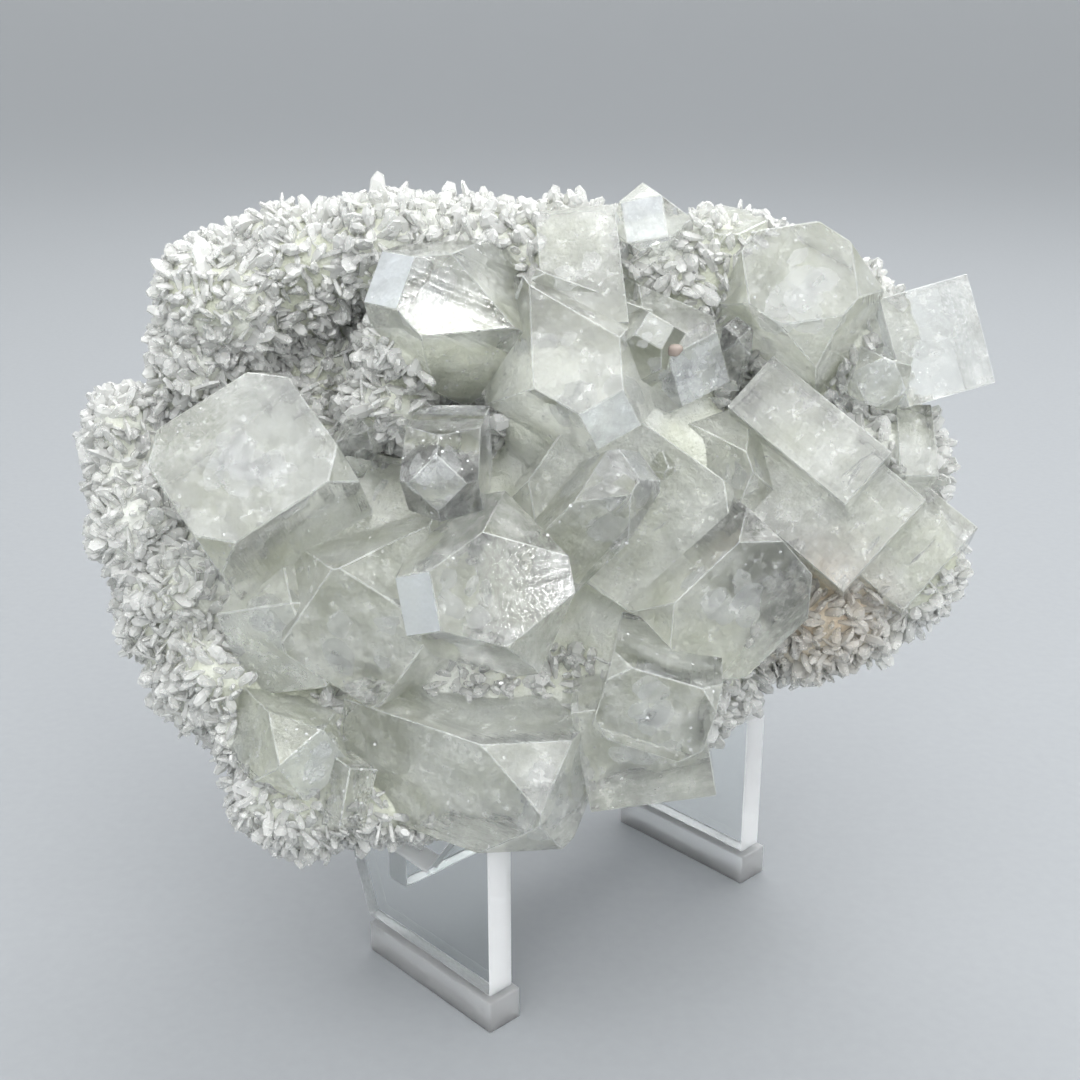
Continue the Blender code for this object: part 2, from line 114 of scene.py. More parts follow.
CRYSTALS = (
    Crystal("crown", (-15.2, 26.2, 14.0), 160, 45, 45, (6.2, 6.2), 16.0, 2.8, Clarity.CLEAR, 1.0, 4),
    Crystal("left block", (-29.6, 8.4, 16.0), 100, 22, 26, (7.8, 8.3), 21.0, 9.2, Clarity.CLEAR, 0.15, 16),
    Crystal("small clear", (-9.8, 5.4, 22.0), 260, 15, 10, (4.3, 3.8), 19.0, 2.0, Clarity.GLASSY, 0.3, 2),
    Crystal("heart", (-12.0, -6.3, 18.0), 191, 50, 45, (8.2, 8.2), 12.0, 3.0, Clarity.HAZY, 1.0, 6),
    Crystal("heart left", (-18.7, -10.1, 13.0), 250, 25, 30, (8.0, 8.0), 16.0, 6.0, Clarity.HAZY, 0.0, 6),
    Crystal("green recess", (-17.5, 3.2, 6.0), 80, 30, 0, (7.0, 7.0), 12.0, 8.0, Clarity.GREENISH),
    Crystal("lower left", (-28.0, -11.5, 9.0), 230, 35, 10, (7.0, 7.0), 12.0, 5.0, Clarity.GREENISH, 0.2, 4),
    Crystal("bottom", (3.4, -25.8, 10.5), 345, 65, 25, (7.0, 6.5), 24.0, 5.5, Clarity.HAZY, 0.0, 8),
    Crystal("foot clear", (11.3, -17.2, 18.0), 250, 20, 4, (4.2, 5.6), 14.0, 5.5, Clarity.GLASSY, 0.0, 7),
    Crystal("foot block", (10.6, -21.9, 12.0), 260, 20, 20, (5.8, 6.6), 14.0, 9.0, Clarity.GREENISH),
    Crystal("lower right", (20.6, -7.3, 12.0), 310, 25, 4, (6.2, 7.9), 18.0, 7.5, Clarity.HAZY, 0.0, 5),
    Crystal("slanted", (10.0, 7.5, 15.0), 45, 65, 20, (4.0, 3.6), 16.0, 2.0, Clarity.CLEAR, 0.3, 3),
    Crystal("centre", (7.0, 11.9, 16.0), 300, 40, 45, (7.0, 7.0), 16.0, 2.5, Clarity.HAZY, 0.6, 6),
    Crystal("centre top", (4.2, 28.6, 9.0), 95, 25, 0, (7.5, 4.3), 14.0, 9.0, Clarity.MILKY),
    Crystal("centre middle", (3.6, 20.3, 9.0), 250, 15, 0, (6.0, 6.5), 12.0, 8.0, Clarity.MILKY),
    Crystal("dome", (11.6, 21.1, 14.0), 60, 20, 45, (3.5, 4.0), 12.0, 1.5, Clarity.GLASSY, 0.3, 1),
    Crystal("fractured", (16.5, 17.6, 10.0), 320, 35, 20, (5.5, 5.5), 12.0, 3.0, Clarity.CLEAR, 0.5, 8),
    Crystal("mirror", (10.9, 33.6, 8.0), 200, 15, 33, (3.0, 3.4), 12.0, 2.2, Clarity.CLEAR, 0.7, 1),
    Crystal("top right", (20.1, 34.8, 2.0), 95, 60, 0, (5.0, 4.5), 12.0, 4.0, Clarity.HAZY),
    Crystal("upper right", (26.5, 27.3, 12.0), 120, 20, 21, (6.5, 5.8), 16.0, 5.5, Clarity.CLEAR, 0.1, 7),
    Crystal("far right", (42.2, 21.2, 6.0), 0, 5, 16, (5.0, 6.0), 14.0, 9.0, Clarity.MILKY, 0.0, 4),
    Crystal("small six", (35.6, 16.5, 8.0), 240, 15, 10, (2.6, 2.9), 12.0, 2.2, Clarity.CLEAR, 0.3, 1),
    Crystal("blade", (40.2, 10.7, 5.0), 90, 20, 0, (4.2, 2.0), 12.0, 5.0, Clarity.CLEAR),
    Crystal("stair one", (34.3, 5.5, 8.0), 318, 75, 0, (4.5, 3.6), 16.0, 9.0, Clarity.MILKY),
    Crystal("stair two", (36.8, -1.4, 4.5), 318, 75, 0, (5.0, 6.5), 22.0, 9.0, Clarity.MILKY),
    Crystal("stair three", (43.6, -4.0, 0.5), 318, 75, 0, (5.0, 6.0), 20.0, 9.0, Clarity.HAZY),
    Crystal("between", (17.0, 6.4, 6.0), 200, 30, 0, (6.0, 6.0), 10.0, 5.0, Clarity.GREENISH),
    Crystal("splinter", (-23.0, -23.0, 12.0), 330, 40, 20, (4.0, 4.0), 12.0, 3.0, Clarity.CLEAR, 0.5, 3),
    Crystal("tablet", (-18.5, -26.3, 12.5), 340, 35, 10, (1.6, 3.2), 9.0, 4.0, Clarity.GLASSY),
    Crystal("slip", (-18.0, 12.6, 6.5), 55, 60, 20, (1.6, 2.2), 9.0, 1.0, Clarity.CLEAR),
    Crystal("chip", (20.5, 22.0, 10.0), 80, 30, 10, (1.7, 1.7), 9.0, 1.0, Clarity.CLEAR),
    Crystal("spark", (13.6, 8.4, 10.5), 30, 45, 30, (1.8, 1.6), 8.0, 1.0, Clarity.GLASSY),
    Crystal("massive middle", (9.5, 2.5, 10.0), 290, 9, 35, (11.0, 8.5), 12.0, 10.0, Clarity.GREENISH, 0.0, 8),
)

LUMPS = (
    ((-34.0, 26.0, -3.0), (7.5, 7.0, 9.0)),
    ((-26.5, 30.0, -3.0), (8.0, 7.0, 9.0)),
    ((-17.0, 31.5, -3.0), (9.0, 6.0, 9.0)),
    ((-8.0, 31.5, -3.0), (9.0, 6.0, 9.0)),
    ((2.0, 31.0, -3.0), (9.0, 6.0, 9.0)),
    ((-38.0, 19.0, -4.0), (5.5, 6.0, 8.0)),
    ((-24.0, 18.5, -9.0), (12.0, 10.0, 6.0)),
    ((-46.0, 11.0, -5.0), (4.5, 5.5, 7.0)),
    ((-44.0, 3.0, -5.0), (6.0, 8.0, 9.0)),
    ((-38.0, -6.0, -5.0), (9.0, 9.0, 10.0)),
    ((-33.0, -14.0, -4.0), (10.0, 8.0, 11.0)),
    ((-25.0, -20.0, -3.0), (11.0, 7.0, 11.0)),
    ((-26.0, -28.0, 0.0), (7.0, 5.5, 9.0)),
    ((-16.0, -28.0, -1.0), (8.0, 5.0, 9.0)),
    ((-3.0, -17.0, -5.0), (16.0, 12.0, 12.0)),
    ((12.0, -13.0, -5.0), (13.0, 11.0, 12.0)),
    ((-8.0, -2.0, -6.0), (22.0, 14.0, 11.0)),
    ((10.0, 8.0, -4.0), (14.0, 14.0, 12.0)),
    ((-11.0, 20.5, 2.0), (8.0, 5.0, 8.0)),
    ((-17.0, 14.0, 1.0), (4.5, 4.2, 7.0)),
    ((2.0, 14.0, 0.0), (7.0, 7.0, 9.0)),
    ((18.0, 29.0, -4.0), (12.0, 8.0, 10.0)),
    ((31.0, 22.0, -5.0), (11.0, 9.0, 10.0)),
    ((33.0, 8.0, -6.0), (13.0, 10.0, 11.0)),
    ((38.0, -2.0, -6.0), (9.0, 8.0, 9.0)),
    ((30.0, -9.0, -5.0), (9.0, 6.0, 9.0)),
    ((18.0, -13.6, -19.0), (9.0, 8.0, 9.0)),
    ((2.0, 0.0, -12.0), (24.0, 15.0, 9.0)),
    ((8.0, 21.0, -9.0), (24.0, 9.0, 7.0)),
    ((-30.0, 9.0, -8.0), (14.0, 12.0, 7.0)),
    ((-22.0, -10.0, -11.0), (15.0, 10.0, 7.0)),
    ((30.0, 8.0, -11.0), (12.0, 13.0, 8.0)),
)


def face_to_row() -> Matrix:
    """Return the turn from the face frame in millimetres to the row frame in metres."""
    upright = Matrix.Rotation(math.pi / 2 - FACE_LEAN, 4, "X")
    return Matrix.Scale(MM, 4) @ Matrix.Translation(Vector(FACE_CENTRE)) @ upright


def linear(code: str, alpha: float = 1.0) -> tuple[float, float, float, float]:
    """Turn an sRGB hex colour into linear red, green, blue and alpha.

    Args:
        code: The colour, such as #FDFEFC.
        alpha: Its alpha.

    Returns:
        The linear colour.
    """
    parts = [int(code[start : start + 2], 16) / 255 for start in (1, 3, 5)]
    red, green, blue = (p / 12.92 if p <= 0.04045 else ((p + 0.055) / 1.055) ** 2.4 for p in parts)
    return red, green, blue, alpha


def add(
    tree: bpy.types.NodeTree, kind: str, inputs: dict | None = None, **settings: object
) -> bpy.types.Node:
    """Add a node with its settings, values and links.

    Args:
        tree: The tree that takes the node.
        kind: Blender's name for the node.
        inputs: Value or linked socket for each input, by its name or number.
        settings: Other settings of the node.

    Returns:
        The new node.
    """
    node = tree.nodes.new(kind)
    for name, value in settings.items():
        setattr(node, name, value)
    for key, value in (inputs or {}).items():
        if isinstance(value, bpy.types.NodeSocket):
            tree.links.new(value, node.inputs[key])
        else:
            node.inputs[key].default_value = value
    return node


def grain(millimetres: float) -> float:
    """Return the texture scale, on coordinates in metres, whose features have this size."""
    return 1000.0 / millimetres


def new_material(name: str) -> tuple[bpy.types.Material, bpy.types.NodeTree]:
    """Return an empty material with its tree.

    Args:
        name: The material's name.

    Returns:
        The material and its empty tree.
    """
    material = bpy.data.materials.new(name)
    material.use_nodes = True
    material.node_tree.nodes.clear()
    return material, material.node_tree


def new_object(name: str, mesh: bpy.types.Mesh) -> bpy.types.Object:
    """Return a linked object that shows the mesh.

    Args:
        name: The object's name.
        mesh: The mesh that it shows.

    Returns:
        The object.
    """
    obj = bpy.data.objects.new(name, mesh)
    bpy.context.scene.collection.objects.link(obj)
    return obj


def object_from(name: str, bm: bmesh.types.BMesh) -> bpy.types.Object:
    """Turn a bmesh into a linked object, and free the bmesh.

    Args:
        name: The object's name.
        bm: The shape.

    Returns:
        The object.
    """
    mesh = bpy.data.meshes.new(name)
    bm.to_mesh(mesh)
    bm.free()
    return new_object(name, mesh)


def applied(obj: bpy.types.Object) -> bpy.types.Mesh:
    """Return a new mesh of the object with its modifiers applied."""
    depsgraph = bpy.context.evaluated_depsgraph_get()
    return bpy.data.meshes.new_from_object(obj.evaluated_get(depsgraph))


def finish_modifiers(obj: bpy.types.Object) -> None:
    """Apply the object's modifiers to its mesh and remove them.

    Args:
        obj: The object whose modifiers are applied.
    """
    mesh = applied(obj)
    obj.modifiers.clear()
    obj.data = mesh


def seat(obj: bpy.types.Object, slot: str, *nodes: str) -> bpy.types.Object:
    """Make a finished piece ride on the body.

    Args:
        obj: The piece, in the row frame.
        slot: The record's material slot for its finish; not used.
        nodes: The CAD nodes that it stands for.

    Returns:
        The same piece.
    """
    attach(obj, BODY)
    if nodes:
        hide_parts(*nodes)
    log.info("%s: %d faces", obj.name, len(obj.data.polygons))
    return obj


def to_row(obj: bpy.types.Object) -> None:
    """Move a mesh from the face frame to its place in the row frame."""
    obj.data.transform(face_to_row())
    obj.data.update()


@dataclass
class Scatter:
    """What the crust and the flecks share: many small shapes grown on a surface by Geometry Nodes.

    Args:
        name: The name of the tree and of its modifier.
        sockets: Each input's name, and the kind of value that it takes.
    """

    name: str
    sockets: dict[str, str]

    def start(self) -> tuple[bpy.types.NodeTree, bpy.types.NodeOutputs]:
        """Return an empty tree with its named inputs, and the sockets that give their values.

        Returns:
            The tree, and its inputs' sockets by name.
        """
        tree = bpy.data.node_groups.new(self.name, "GeometryNodeTree")
        kinds = {"Geometry": "Geometry", **self.sockets}
        for name, kind in kinds.items():
            tree.interface.new_socket(name, in_out="INPUT", socket_type="NodeSocket" + kind)
        tree.interface.new_socket("Geometry", in_out="OUTPUT", socket_type="NodeSocketGeometry")
        return tree, add(tree, "NodeGroupInput").outputs

    def turned(
        self, tree: bpy.types.NodeTree, upright: bpy.types.NodeSocket, lean: bpy.types.NodeSocket
    ) -> bpy.types.NodeSocket:
        """Lean and spin each shape at random.

        Args:
            tree: The tree.
            upright: The turn that stands a shape on the surface.
            lean: Most that a shape leans, in radians.

        Returns:
            The shapes' turns.
        """
        ends = {0: (-1.0, -1.0, -1.0), 1: (1.0, 1.0, 1.0), "Seed": 1}
        turn = add(tree, "FunctionNodeRandomValue", ends, data_type="FLOAT_VECTOR").outputs[0]
        reach = add(tree, "ShaderNodeCombineXYZ", {0: lean, 1: lean, 2: math.pi}).outputs[0]
        turn = add(
            tree, "ShaderNodeVectorMath", {0: turn, 1: reach}, operation="MULTIPLY"
        ).outputs[0]
        turn = add(tree, "FunctionNodeEulerToRotation", {0: turn}).outputs[0]
        both = {0: upright, 1: turn}
        return add(tree, "FunctionNodeRotateRotation", both, rotation_space="LOCAL").outputs[0]

    def end(
        self,
        tree: bpy.types.NodeTree,
        shapes: dict,
        sizes: tuple[bpy.types.NodeSocket, bpy.types.NodeSocket],
        finish: bpy.types.NodeSocket,
    ) -> None:
        """Put the shapes on their points, make them real and give them their finish.

        Args:
            tree: The tree.
            shapes: What the instances are made from: their points, shape, turn and pick.
            sizes: Scales of the smallest and of the largest shape.
            finish: The shapes' material.
        """
        ends = {2: sizes[0], 3: sizes[1], "Seed": 2}
        size = add(tree, "FunctionNodeRandomValue", ends, data_type="FLOAT").outputs[1]
        grown = add(tree, "GeometryNodeInstanceOnPoints", {**shapes, "Scale": size}).outputs[0]
        grown = add(tree, "GeometryNodeRealizeInstances", {"Geometry": grown}).outputs[0]
        grown = add(
            tree, "GeometryNodeSetMaterial", {"Geometry": grown, "Material": finish}
        ).outputs[0]
        add(tree, "NodeGroupOutput", {"Geometry": grown})

    def grow(
        self, tree: bpy.types.NodeTree, obj: bpy.types.Object, values: dict[str, object]
    ) -> None:
        """Run the tree on a surface in the face frame, and seat what grows.

        Args:
            tree: The finished tree.
            obj: A copy of the surface, which becomes the piece.
            values: The value of each named input.
        """
        modifier = obj.modifiers.new(self.name, "NODES")
        modifier.node_group = tree
        for item in tree.interface.items_tree:
            if item.in_out == "INPUT" and item.name in values:
                modifier[item.identifier] = values[item.name]
        finish_modifiers(obj)
        to_row(obj)
        seat(obj, "crystal")


@dataclass(frozen=True)
class GrownApophyllite:
    """Natural apophyllite, grown in a cavity: near colourless, glassy, with a grey-green cast.

    Prism faces grew with fine ribs along the crystal, pyramid faces are smooth with scattered
    growth pits, and the small end facets are etched to a frost.
    """

    # To the eye: clear depth with milky drifts, sharp glints on the faces and dull white-blue ends

    clear: str = "#FDFEFC"
    cloud: str = "#F3F5F1"
    green: str = "#E6E9D8"
    frost_tint: str = "#EEF3F7"
    depth_tint: str = "#EBEBD6"
    density: float = 4.8
    ior: float = APOPHYLLITE_IOR
    glass_roughness: tuple[float, float] = (0.06, 0.20)
    frost_roughness: float = 0.30
    cloud_size: float = 3.2
    cloud_share: float = 0.20
    wisp_size: float = 1.3
    wisp_share: float = 0.30
    frost_share: float = 0.35
    rib_across: float = 0.6
    rib_stretch: float = 0.06
    rib_height: float = 0.07
    pit_size: float = 0.55
    pit_depth: float = 0.05
    grit_size: float = 0.5
    grit_height: float = 0.03

    def material(self) -> bpy.types.Material:
        """Return the material, which reads the face_mm map and the growth attribute.

        Returns:
            The finished material.
        """
        material, tree = new_material("grown_apophyllite")
        place = add(tree, "ShaderNodeTexCoord").outputs["Object"]
        ribs_map = add(tree, "ShaderNodeUVMap", uv_map="face_mm").outputs["UV"]
        growth = add(
            tree, "ShaderNodeAttribute", attribute_name="growth", attribute_type="GEOMETRY"
        )
        ribbed = growth.outputs["Alpha"]
        split = add(tree, "ShaderNodeSeparateColor", {"Color": growth.outputs["Color"]})
        frost, milk, green = (split.outputs[name] for name in ("Red", "Green", "Blue"))
        # Clouds of about 3 mm with finer wisps, as seen inside the big crystals
        clouds = add(
            tree,
            "ShaderNodeTexNoise",
            {"Vector": place, "Scale": grain(self.cloud_size), "Detail": 5.0, "Roughness": 0.7},
        ).outputs["Fac"]
        patch = add(
            tree,
            "ShaderNodeMapRange",
            {"Value": clouds, "From Min": 0.48, "From Max": 0.70, "To Max": self.cloud_share},
        ).outputs["Result"]
        milky = add(
            tree, "ShaderNodeMath", {0: milk, 1: patch}, operation="ADD", use_clamp=True
        ).outputs[0]
        wisps = add(
            tree,
            "ShaderNodeTexNoise",
            {"Vector": place, "Scale": grain(self.wisp_size), "Detail": 5.0, "Roughness": 0.78},
        ).outputs["Fac"]
        veil = add(
            tree,
            "ShaderNodeMapRange",
            {"Value": wisps, "From Min": 0.55, "From Max": 0.72, "To Max": self.wisp_share},
        ).outputs["Result"]
        milky = add(
            tree, "ShaderNodeMath", {0: milky, 1: veil}, operation="ADD", use_clamp=True
        ).outputs[0]
        # The frosted ends scatter more than the glass below them
        frosted = add(
            tree,
            "ShaderNodeMath",
            {0: frost, 1: self.frost_share, 2: milky},
            operation="MULTIPLY_ADD",
            use_clamp=True,
        )
        milky = frosted.outputs[0]
        clear = add(
            tree, "ShaderNodeMath", {0: 1.0, 1: milky}, operation="SUBTRACT", use_clamp=True
        ).outputs[0]
        body = add(
            tree,
            "ShaderNodeMix",
            {0: green, 6: linear(self.cloud), 7: linear(self.green)},
            data_type="RGBA",
        ).outputs[2]
        colour = add(
            tree, "ShaderNodeMix", {0: milky, 6: linear(self.clear), 7: body}, data_type="RGBA"
        ).outputs[2]
        colour = add(
            tree,
            "ShaderNodeMix",
            {0: frost, 6: colour, 7: linear(self.frost_tint)},
            data_type="RGBA",
        ).outputs[2]
        # Real ribs are about 0.05 mm apart, and are drawn coarser so that they show
        ribs_place = add(
            tree,
            "ShaderNodeMapping",
            {"Vector": ribs_map, "Scale": (1.0 / self.rib_across, self.rib_stretch, 1.0)},
        ).outputs["Vector"]
        ribs = add(
            tree, "ShaderNodeTexNoise", {"Vector": ribs_place, "Scale": 1.0, "Detail": 2.0}
        ).outputs["Fac"]
        pits = add(
            tree,
            "ShaderNodeTexVoronoi",
            {"Vector": place, "Scale": grain(self.pit_size), "Randomness": 1.0},
        ).outputs["Distance"]
        fine = add(
            tree,
            "ShaderNodeTexNoise",
            {"Vector": place, "Scale": grain(self.grit_size), "Detail": 2.0, "Roughness": 0.7},
        ).outputs["Fac"]
        ribbed = add(
            tree, "ShaderNodeMath", {0: ribbed, 1: 0.65, 2: 0.35}, operation="MULTIPLY_ADD"
        ).outputs[0]
        bump = add(
            tree,
            "ShaderNodeBump",
            {"Height": ribs, "Strength": ribbed, "Distance": self.rib_height * MM},
        )
        depth = add(
            tree, "ShaderNodeMath", {0: frost, 1: 0.8, 2: 0.12}, operation="MULTIPLY_ADD"
        ).outputs[0]
        bump = add(
            tree,
            "ShaderNodeBump",
            {
                "Height": pits,
                "Strength": depth,
                "Distance": self.pit_depth * MM,
                "Normal": bump.outputs["Normal"],
            },
        )
        bump = add(
            tree,
            "ShaderNodeBump",
            {
                "Height": fine,
                "Strength": 0.5,
                "Distance": self.grit_height * MM,
                "Normal": bump.outputs["Normal"],
            },
        )
        rough = add(
            tree,
            "ShaderNodeMapRange",
            {
                "Value": fine,
                "From Min": 0.35,
                "From Max": 0.75,
                "To Min": self.glass_roughness[0],
                "To Max": self.glass_roughness[1],
            },
        ).outputs["Result"]
        rough = add(
            tree, "ShaderNodeMix", {0: frost, 2: rough, 3: self.frost_roughness}, data_type="FLOAT"
        ).outputs[0]
        shader = add(
            tree,
            "ShaderNodeBsdfPrincipled",
            {
                "Base Color": colour,
                "Roughness": rough,
                "IOR": self.ior,
                "Transmission Weight": clear,
                "Normal": bump.outputs["Normal"],
            },
        )
        tint = add(
            tree,
            "ShaderNodeVolumeAbsorption",
            {"Color": linear(self.depth_tint), "Density": self.density},
        )
        add(
            tree,
            "ShaderNodeOutputMaterial",
            {"Surface": shader.outputs["BSDF"], "Volume": tint.outputs["Volume"]},
        )
        return material


@dataclass(frozen=True)
class TanPatch:
    """Where clay stains the cluster: a soft-edged ball low on its right side."""

    tan: str = "#C4B59F"
    spot: FaceSpot = (31.0, -8.0, 1.0)
    reach: float = 10.0

    def over(
        self,
        tree: bpy.types.NodeTree,
        place: bpy.types.NodeSocket,
        colour: bpy.types.NodeSocket,
        most: float,
    ) -> bpy.types.NodeSocket:
        """Stain a colour.

        Args:
            tree: The material's tree.
            place: Object coordinates.
            colour: The colour to stain.
            most: The stain's share in the middle of the patch.

        Returns:
            The stained colour's socket.
        """
        middle = face_to_row() @ Vector(self.spot)
        away = add(
            tree, "ShaderNodeVectorMath", {0: place, 1: middle}, operation="DISTANCE"
        ).outputs["Value"]
        mottle = add(
            tree, "ShaderNodeTexNoise", {"Vector": place, "Scale": grain(2.5), "Detail": 3.0}
        ).outputs["Fac"]
        near = add(
            tree,
            "ShaderNodeMapRange",
            {
                "Value": away,
                "From Min": self.reach * MM,
                "From Max": 0.4 * self.reach * MM,
                "To Max": 1.7 * most,
            },
        ).outputs["Result"]
        near = add(
            tree, "ShaderNodeMath", {0: near, 1: mottle}, operation="MULTIPLY", use_clamp=True
        ).outputs[0]
        return add(
            tree, "ShaderNodeMix", {0: near, 6: colour, 7: linear(self.tan)}, data_type="RGBA"
        ).outputs[2]


@dataclass(frozen=True)
class SugaryDruse:
    """Druse of small apophyllite blades, grown as a crust on the ground."""

    # To the eye: each blade is icy, and together they scatter the light to a sugar white

    white: str = "#FDFDFC"
    shade: str = "#F6F7F2"
    ior: float = APOPHYLLITE_IOR
    clear_share: float = 0.52
    roughness: tuple[float, float] = (0.10, 0.36)
    stain: float = 0.5

    def material(self) -> bpy.types.Material:
        """Return the material of the crust.

        Returns:
            The finished material.
        """
        material, tree = new_material("sugary_druse")
        place = add(tree, "ShaderNodeTexCoord").outputs["Object"]
        tone = add(
            tree, "ShaderNodeTexNoise", {"Vector": place, "Scale": grain(7.0), "Detail": 4.0}
        ).outputs["Fac"]
        speck = add(
            tree, "ShaderNodeTexNoise", {"Vector": place, "Scale": grain(0.9), "Detail": 2.0}
        ).outputs["Fac"]
        colour = add(
            tree,
            "ShaderNodeMix",
            {0: tone, 6: linear(self.white), 7: linear(self.shade)},
            data_type="RGBA",
        ).outputs[2]
        colour = TanPatch().over(tree, place, colour, self.stain)
        rough = add(
            tree,
            "ShaderNodeMapRange",
            {
                "Value": speck,
                "From Min": 0.35,
                "From Max": 0.7,
                "To Min": self.roughness[0],
                "To Max": self.roughness[1],
            },
        ).outputs["Result"]
        shader = add(
            tree,
            "ShaderNodeBsdfPrincipled",
            {
                "Base Color": colour,
                "Roughness": rough,
                "IOR": self.ior,
                "Transmission Weight": self.clear_share,
            },
        )
        add(tree, "ShaderNodeOutputMaterial", {"Surface": shader.outputs["BSDF"]})
        return material


@dataclass(frozen=True)
class MassiveGround:
    """Massive fine-grained ground of the cluster, under its crystals and its crust."""

    # To the eye: a waxy, broken surface, white to grey-green, with a tan clayey patch

    white: str = "#E2E4DD"
    green: str = "#C6C9B8"
    ior: float = APOPHYLLITE_IOR
    roughness: float = 0.32
    stain: float = 1.0
    break_size: float = 2.2
    break_depth: float = 1.2
    sugar_size: float = 0.9
    sugar_depth: float = 0.10

    def material(self) -> bpy.types.Material:
        """Return the material of the ground.

        Returns:
            The finished material.
        """
        material, tree = new_material("massive_ground")
        place = add(tree, "ShaderNodeTexCoord").outputs["Object"]
        tone = add(
            tree, "ShaderNodeTexNoise", {"Vector": place, "Scale": grain(9.0), "Detail": 5.0}
        ).outputs["Fac"]
        sugar = add(
            tree, "ShaderNodeTexVoronoi", {"Vector": place, "Scale": grain(self.sugar_size)}
        ).outputs["Distance"]
        patch = add(
            tree, "ShaderNodeMapRange", {"Value": tone, "From Min": 0.40, "From Max": 0.60}
        ).outputs["Result"]
        colour = add(
            tree,
            "ShaderNodeMix",
            {0: patch, 6: linear(self.white), 7: linear(self.green)},
            data_type="RGBA",
        ).outputs[2]
        colour = TanPatch().over(tree, place, colour, self.stain)
        broken = add(
            tree,
            "ShaderNodeTexNoise",
            {"Vector": place, "Scale": grain(self.break_size), "Detail": 5.0, "Roughness": 0.65},
        ).outputs["Fac"]
        bump = add(
            tree,
            "ShaderNodeBump",
            {"Height": broken, "Strength": 0.8, "Distance": self.break_depth * MM},
        )
        bump = add(
            tree,
            "ShaderNodeBump",
            {
                "Height": sugar,
                "Strength": 0.35,
                "Distance": self.sugar_depth * MM,
                "Normal": bump.outputs["Normal"],
            },
        )
        shader = add(
            tree,
            "ShaderNodeBsdfPrincipled",
            {
                "Base Color": colour,
                "Roughness": self.roughness,
                "IOR": self.ior,
                "Normal": bump.outputs["Normal"],
            },
        )
        add(tree, "ShaderNodeOutputMaterial", {"Surface": shader.outputs["BSDF"]})
        return material


@dataclass(frozen=True)
class PearlyCleavage:
    """Cleavage sheet of apophyllite, split along its one easy plane and filled with air.

    Args:
        name: The material's name.
        clear_share: How much light passes straight through the sheet.
    """

    # To the eye: a thin silvery sheet with the pearly gloss that cleaved apophyllite is known for
    name: str
    clear_share: float
    pearl: str = "#FCFDFD"

    def material(self) -> bpy.types.Material:
        """Return the material of the cracks.

        Returns:
            The finished material.
        """
        material, tree = new_material(self.name)
        place = add(tree, "ShaderNodeTexCoord").outputs["Object"]
        wisp = add(
            tree, "ShaderNodeTexNoise", {"Vector": place, "Scale": grain(1.2), "Detail": 4.0}
        ).outputs["Fac"]
        rough = add(
            tree, "ShaderNodeMapRange", {"Value": wisp, "To Min": 0.05, "To Max": 0.4}
        ).outputs["Result"]
        shader = add(
            tree,
            "ShaderNodeBsdfPrincipled",
            {
                "Base Color": linear(self.pearl),
                "Roughness": rough,
                "IOR": 1.3,
                "Transmission Weight": self.clear_share,
            },
        )
        add(tree, "ShaderNodeOutputMaterial", {"Surface": shader.outputs["BSDF"]})
        return material


@dataclass(frozen=True)
class ClayBubble:
    """Fluid bubble in a crystal, lined with settled clay."""

    # To the eye: a smooth glossy drop with a pink-brown skin

    pale: str = "#B5A79E"
    dark: str = "#7C6F66"

    def material(self) -> bpy.types.Material:
        """Return the material of the bubble.

        Returns:
            The finished material.
        """
        material, tree = new_material("clay_bubble")
        place = add(tree, "ShaderNodeTexCoord").outputs["Object"]
        swirl = add(
            tree, "ShaderNodeTexNoise", {"Vector": place, "Scale": grain(0.8), "Detail": 3.0}
        ).outputs["Fac"]
        colour = add(
            tree,
            "ShaderNodeMix",
            {0: swirl, 6: linear(self.pale), 7: linear(self.dark)},
            data_type="RGBA",
        ).outputs[2]
        shader = add(
            tree, "ShaderNodeBsdfPrincipled", {"Base Color": colour, "Roughness": 0.18, "IOR": 1.45}
        )
        add(tree, "ShaderNodeOutputMaterial", {"Surface": shader.outputs["BSDF"]})
        return material


@dataclass(frozen=True)
class CastAcrylic:
    """Cast acrylic sheet with its polished faces as cast."""

    # To the eye: clear and colourless, with a faint uneven haze from handling

    tint: str = "#F7FAFA"
    ior: float = ACRYLIC_IOR

    def material(self) -> bpy.types.Material:
        """Return the material of the sheet's faces.

        Returns:
            The finished material.
        """
        material, tree = new_material("cast_acrylic")
        place = add(tree, "ShaderNodeTexCoord").outputs["Object"]
        haze = add(
            tree,
            "ShaderNodeTexNoise",
            {"Vector": place, "Scale": grain(4.0), "Detail": 6.0, "Roughness": 0.7},
        ).outputs["Fac"]
        rough = add(
            tree,
            "ShaderNodeMapRange",
            {"Value": haze, "From Min": 0.4, "From Max": 0.8, "To Min": 0.01, "To Max": 0.09},
        ).outputs["Result"]
        shader = add(
            tree,
            "ShaderNodeBsdfPrincipled",
            {
                "Base Color": linear(self.tint),
                "Roughness": rough,
                "IOR": self.ior,
                "Transmission Weight": 1.0,
            },
        )
        add(tree, "ShaderNodeOutputMaterial", {"Surface": shader.outputs["BSDF"]})
        return material


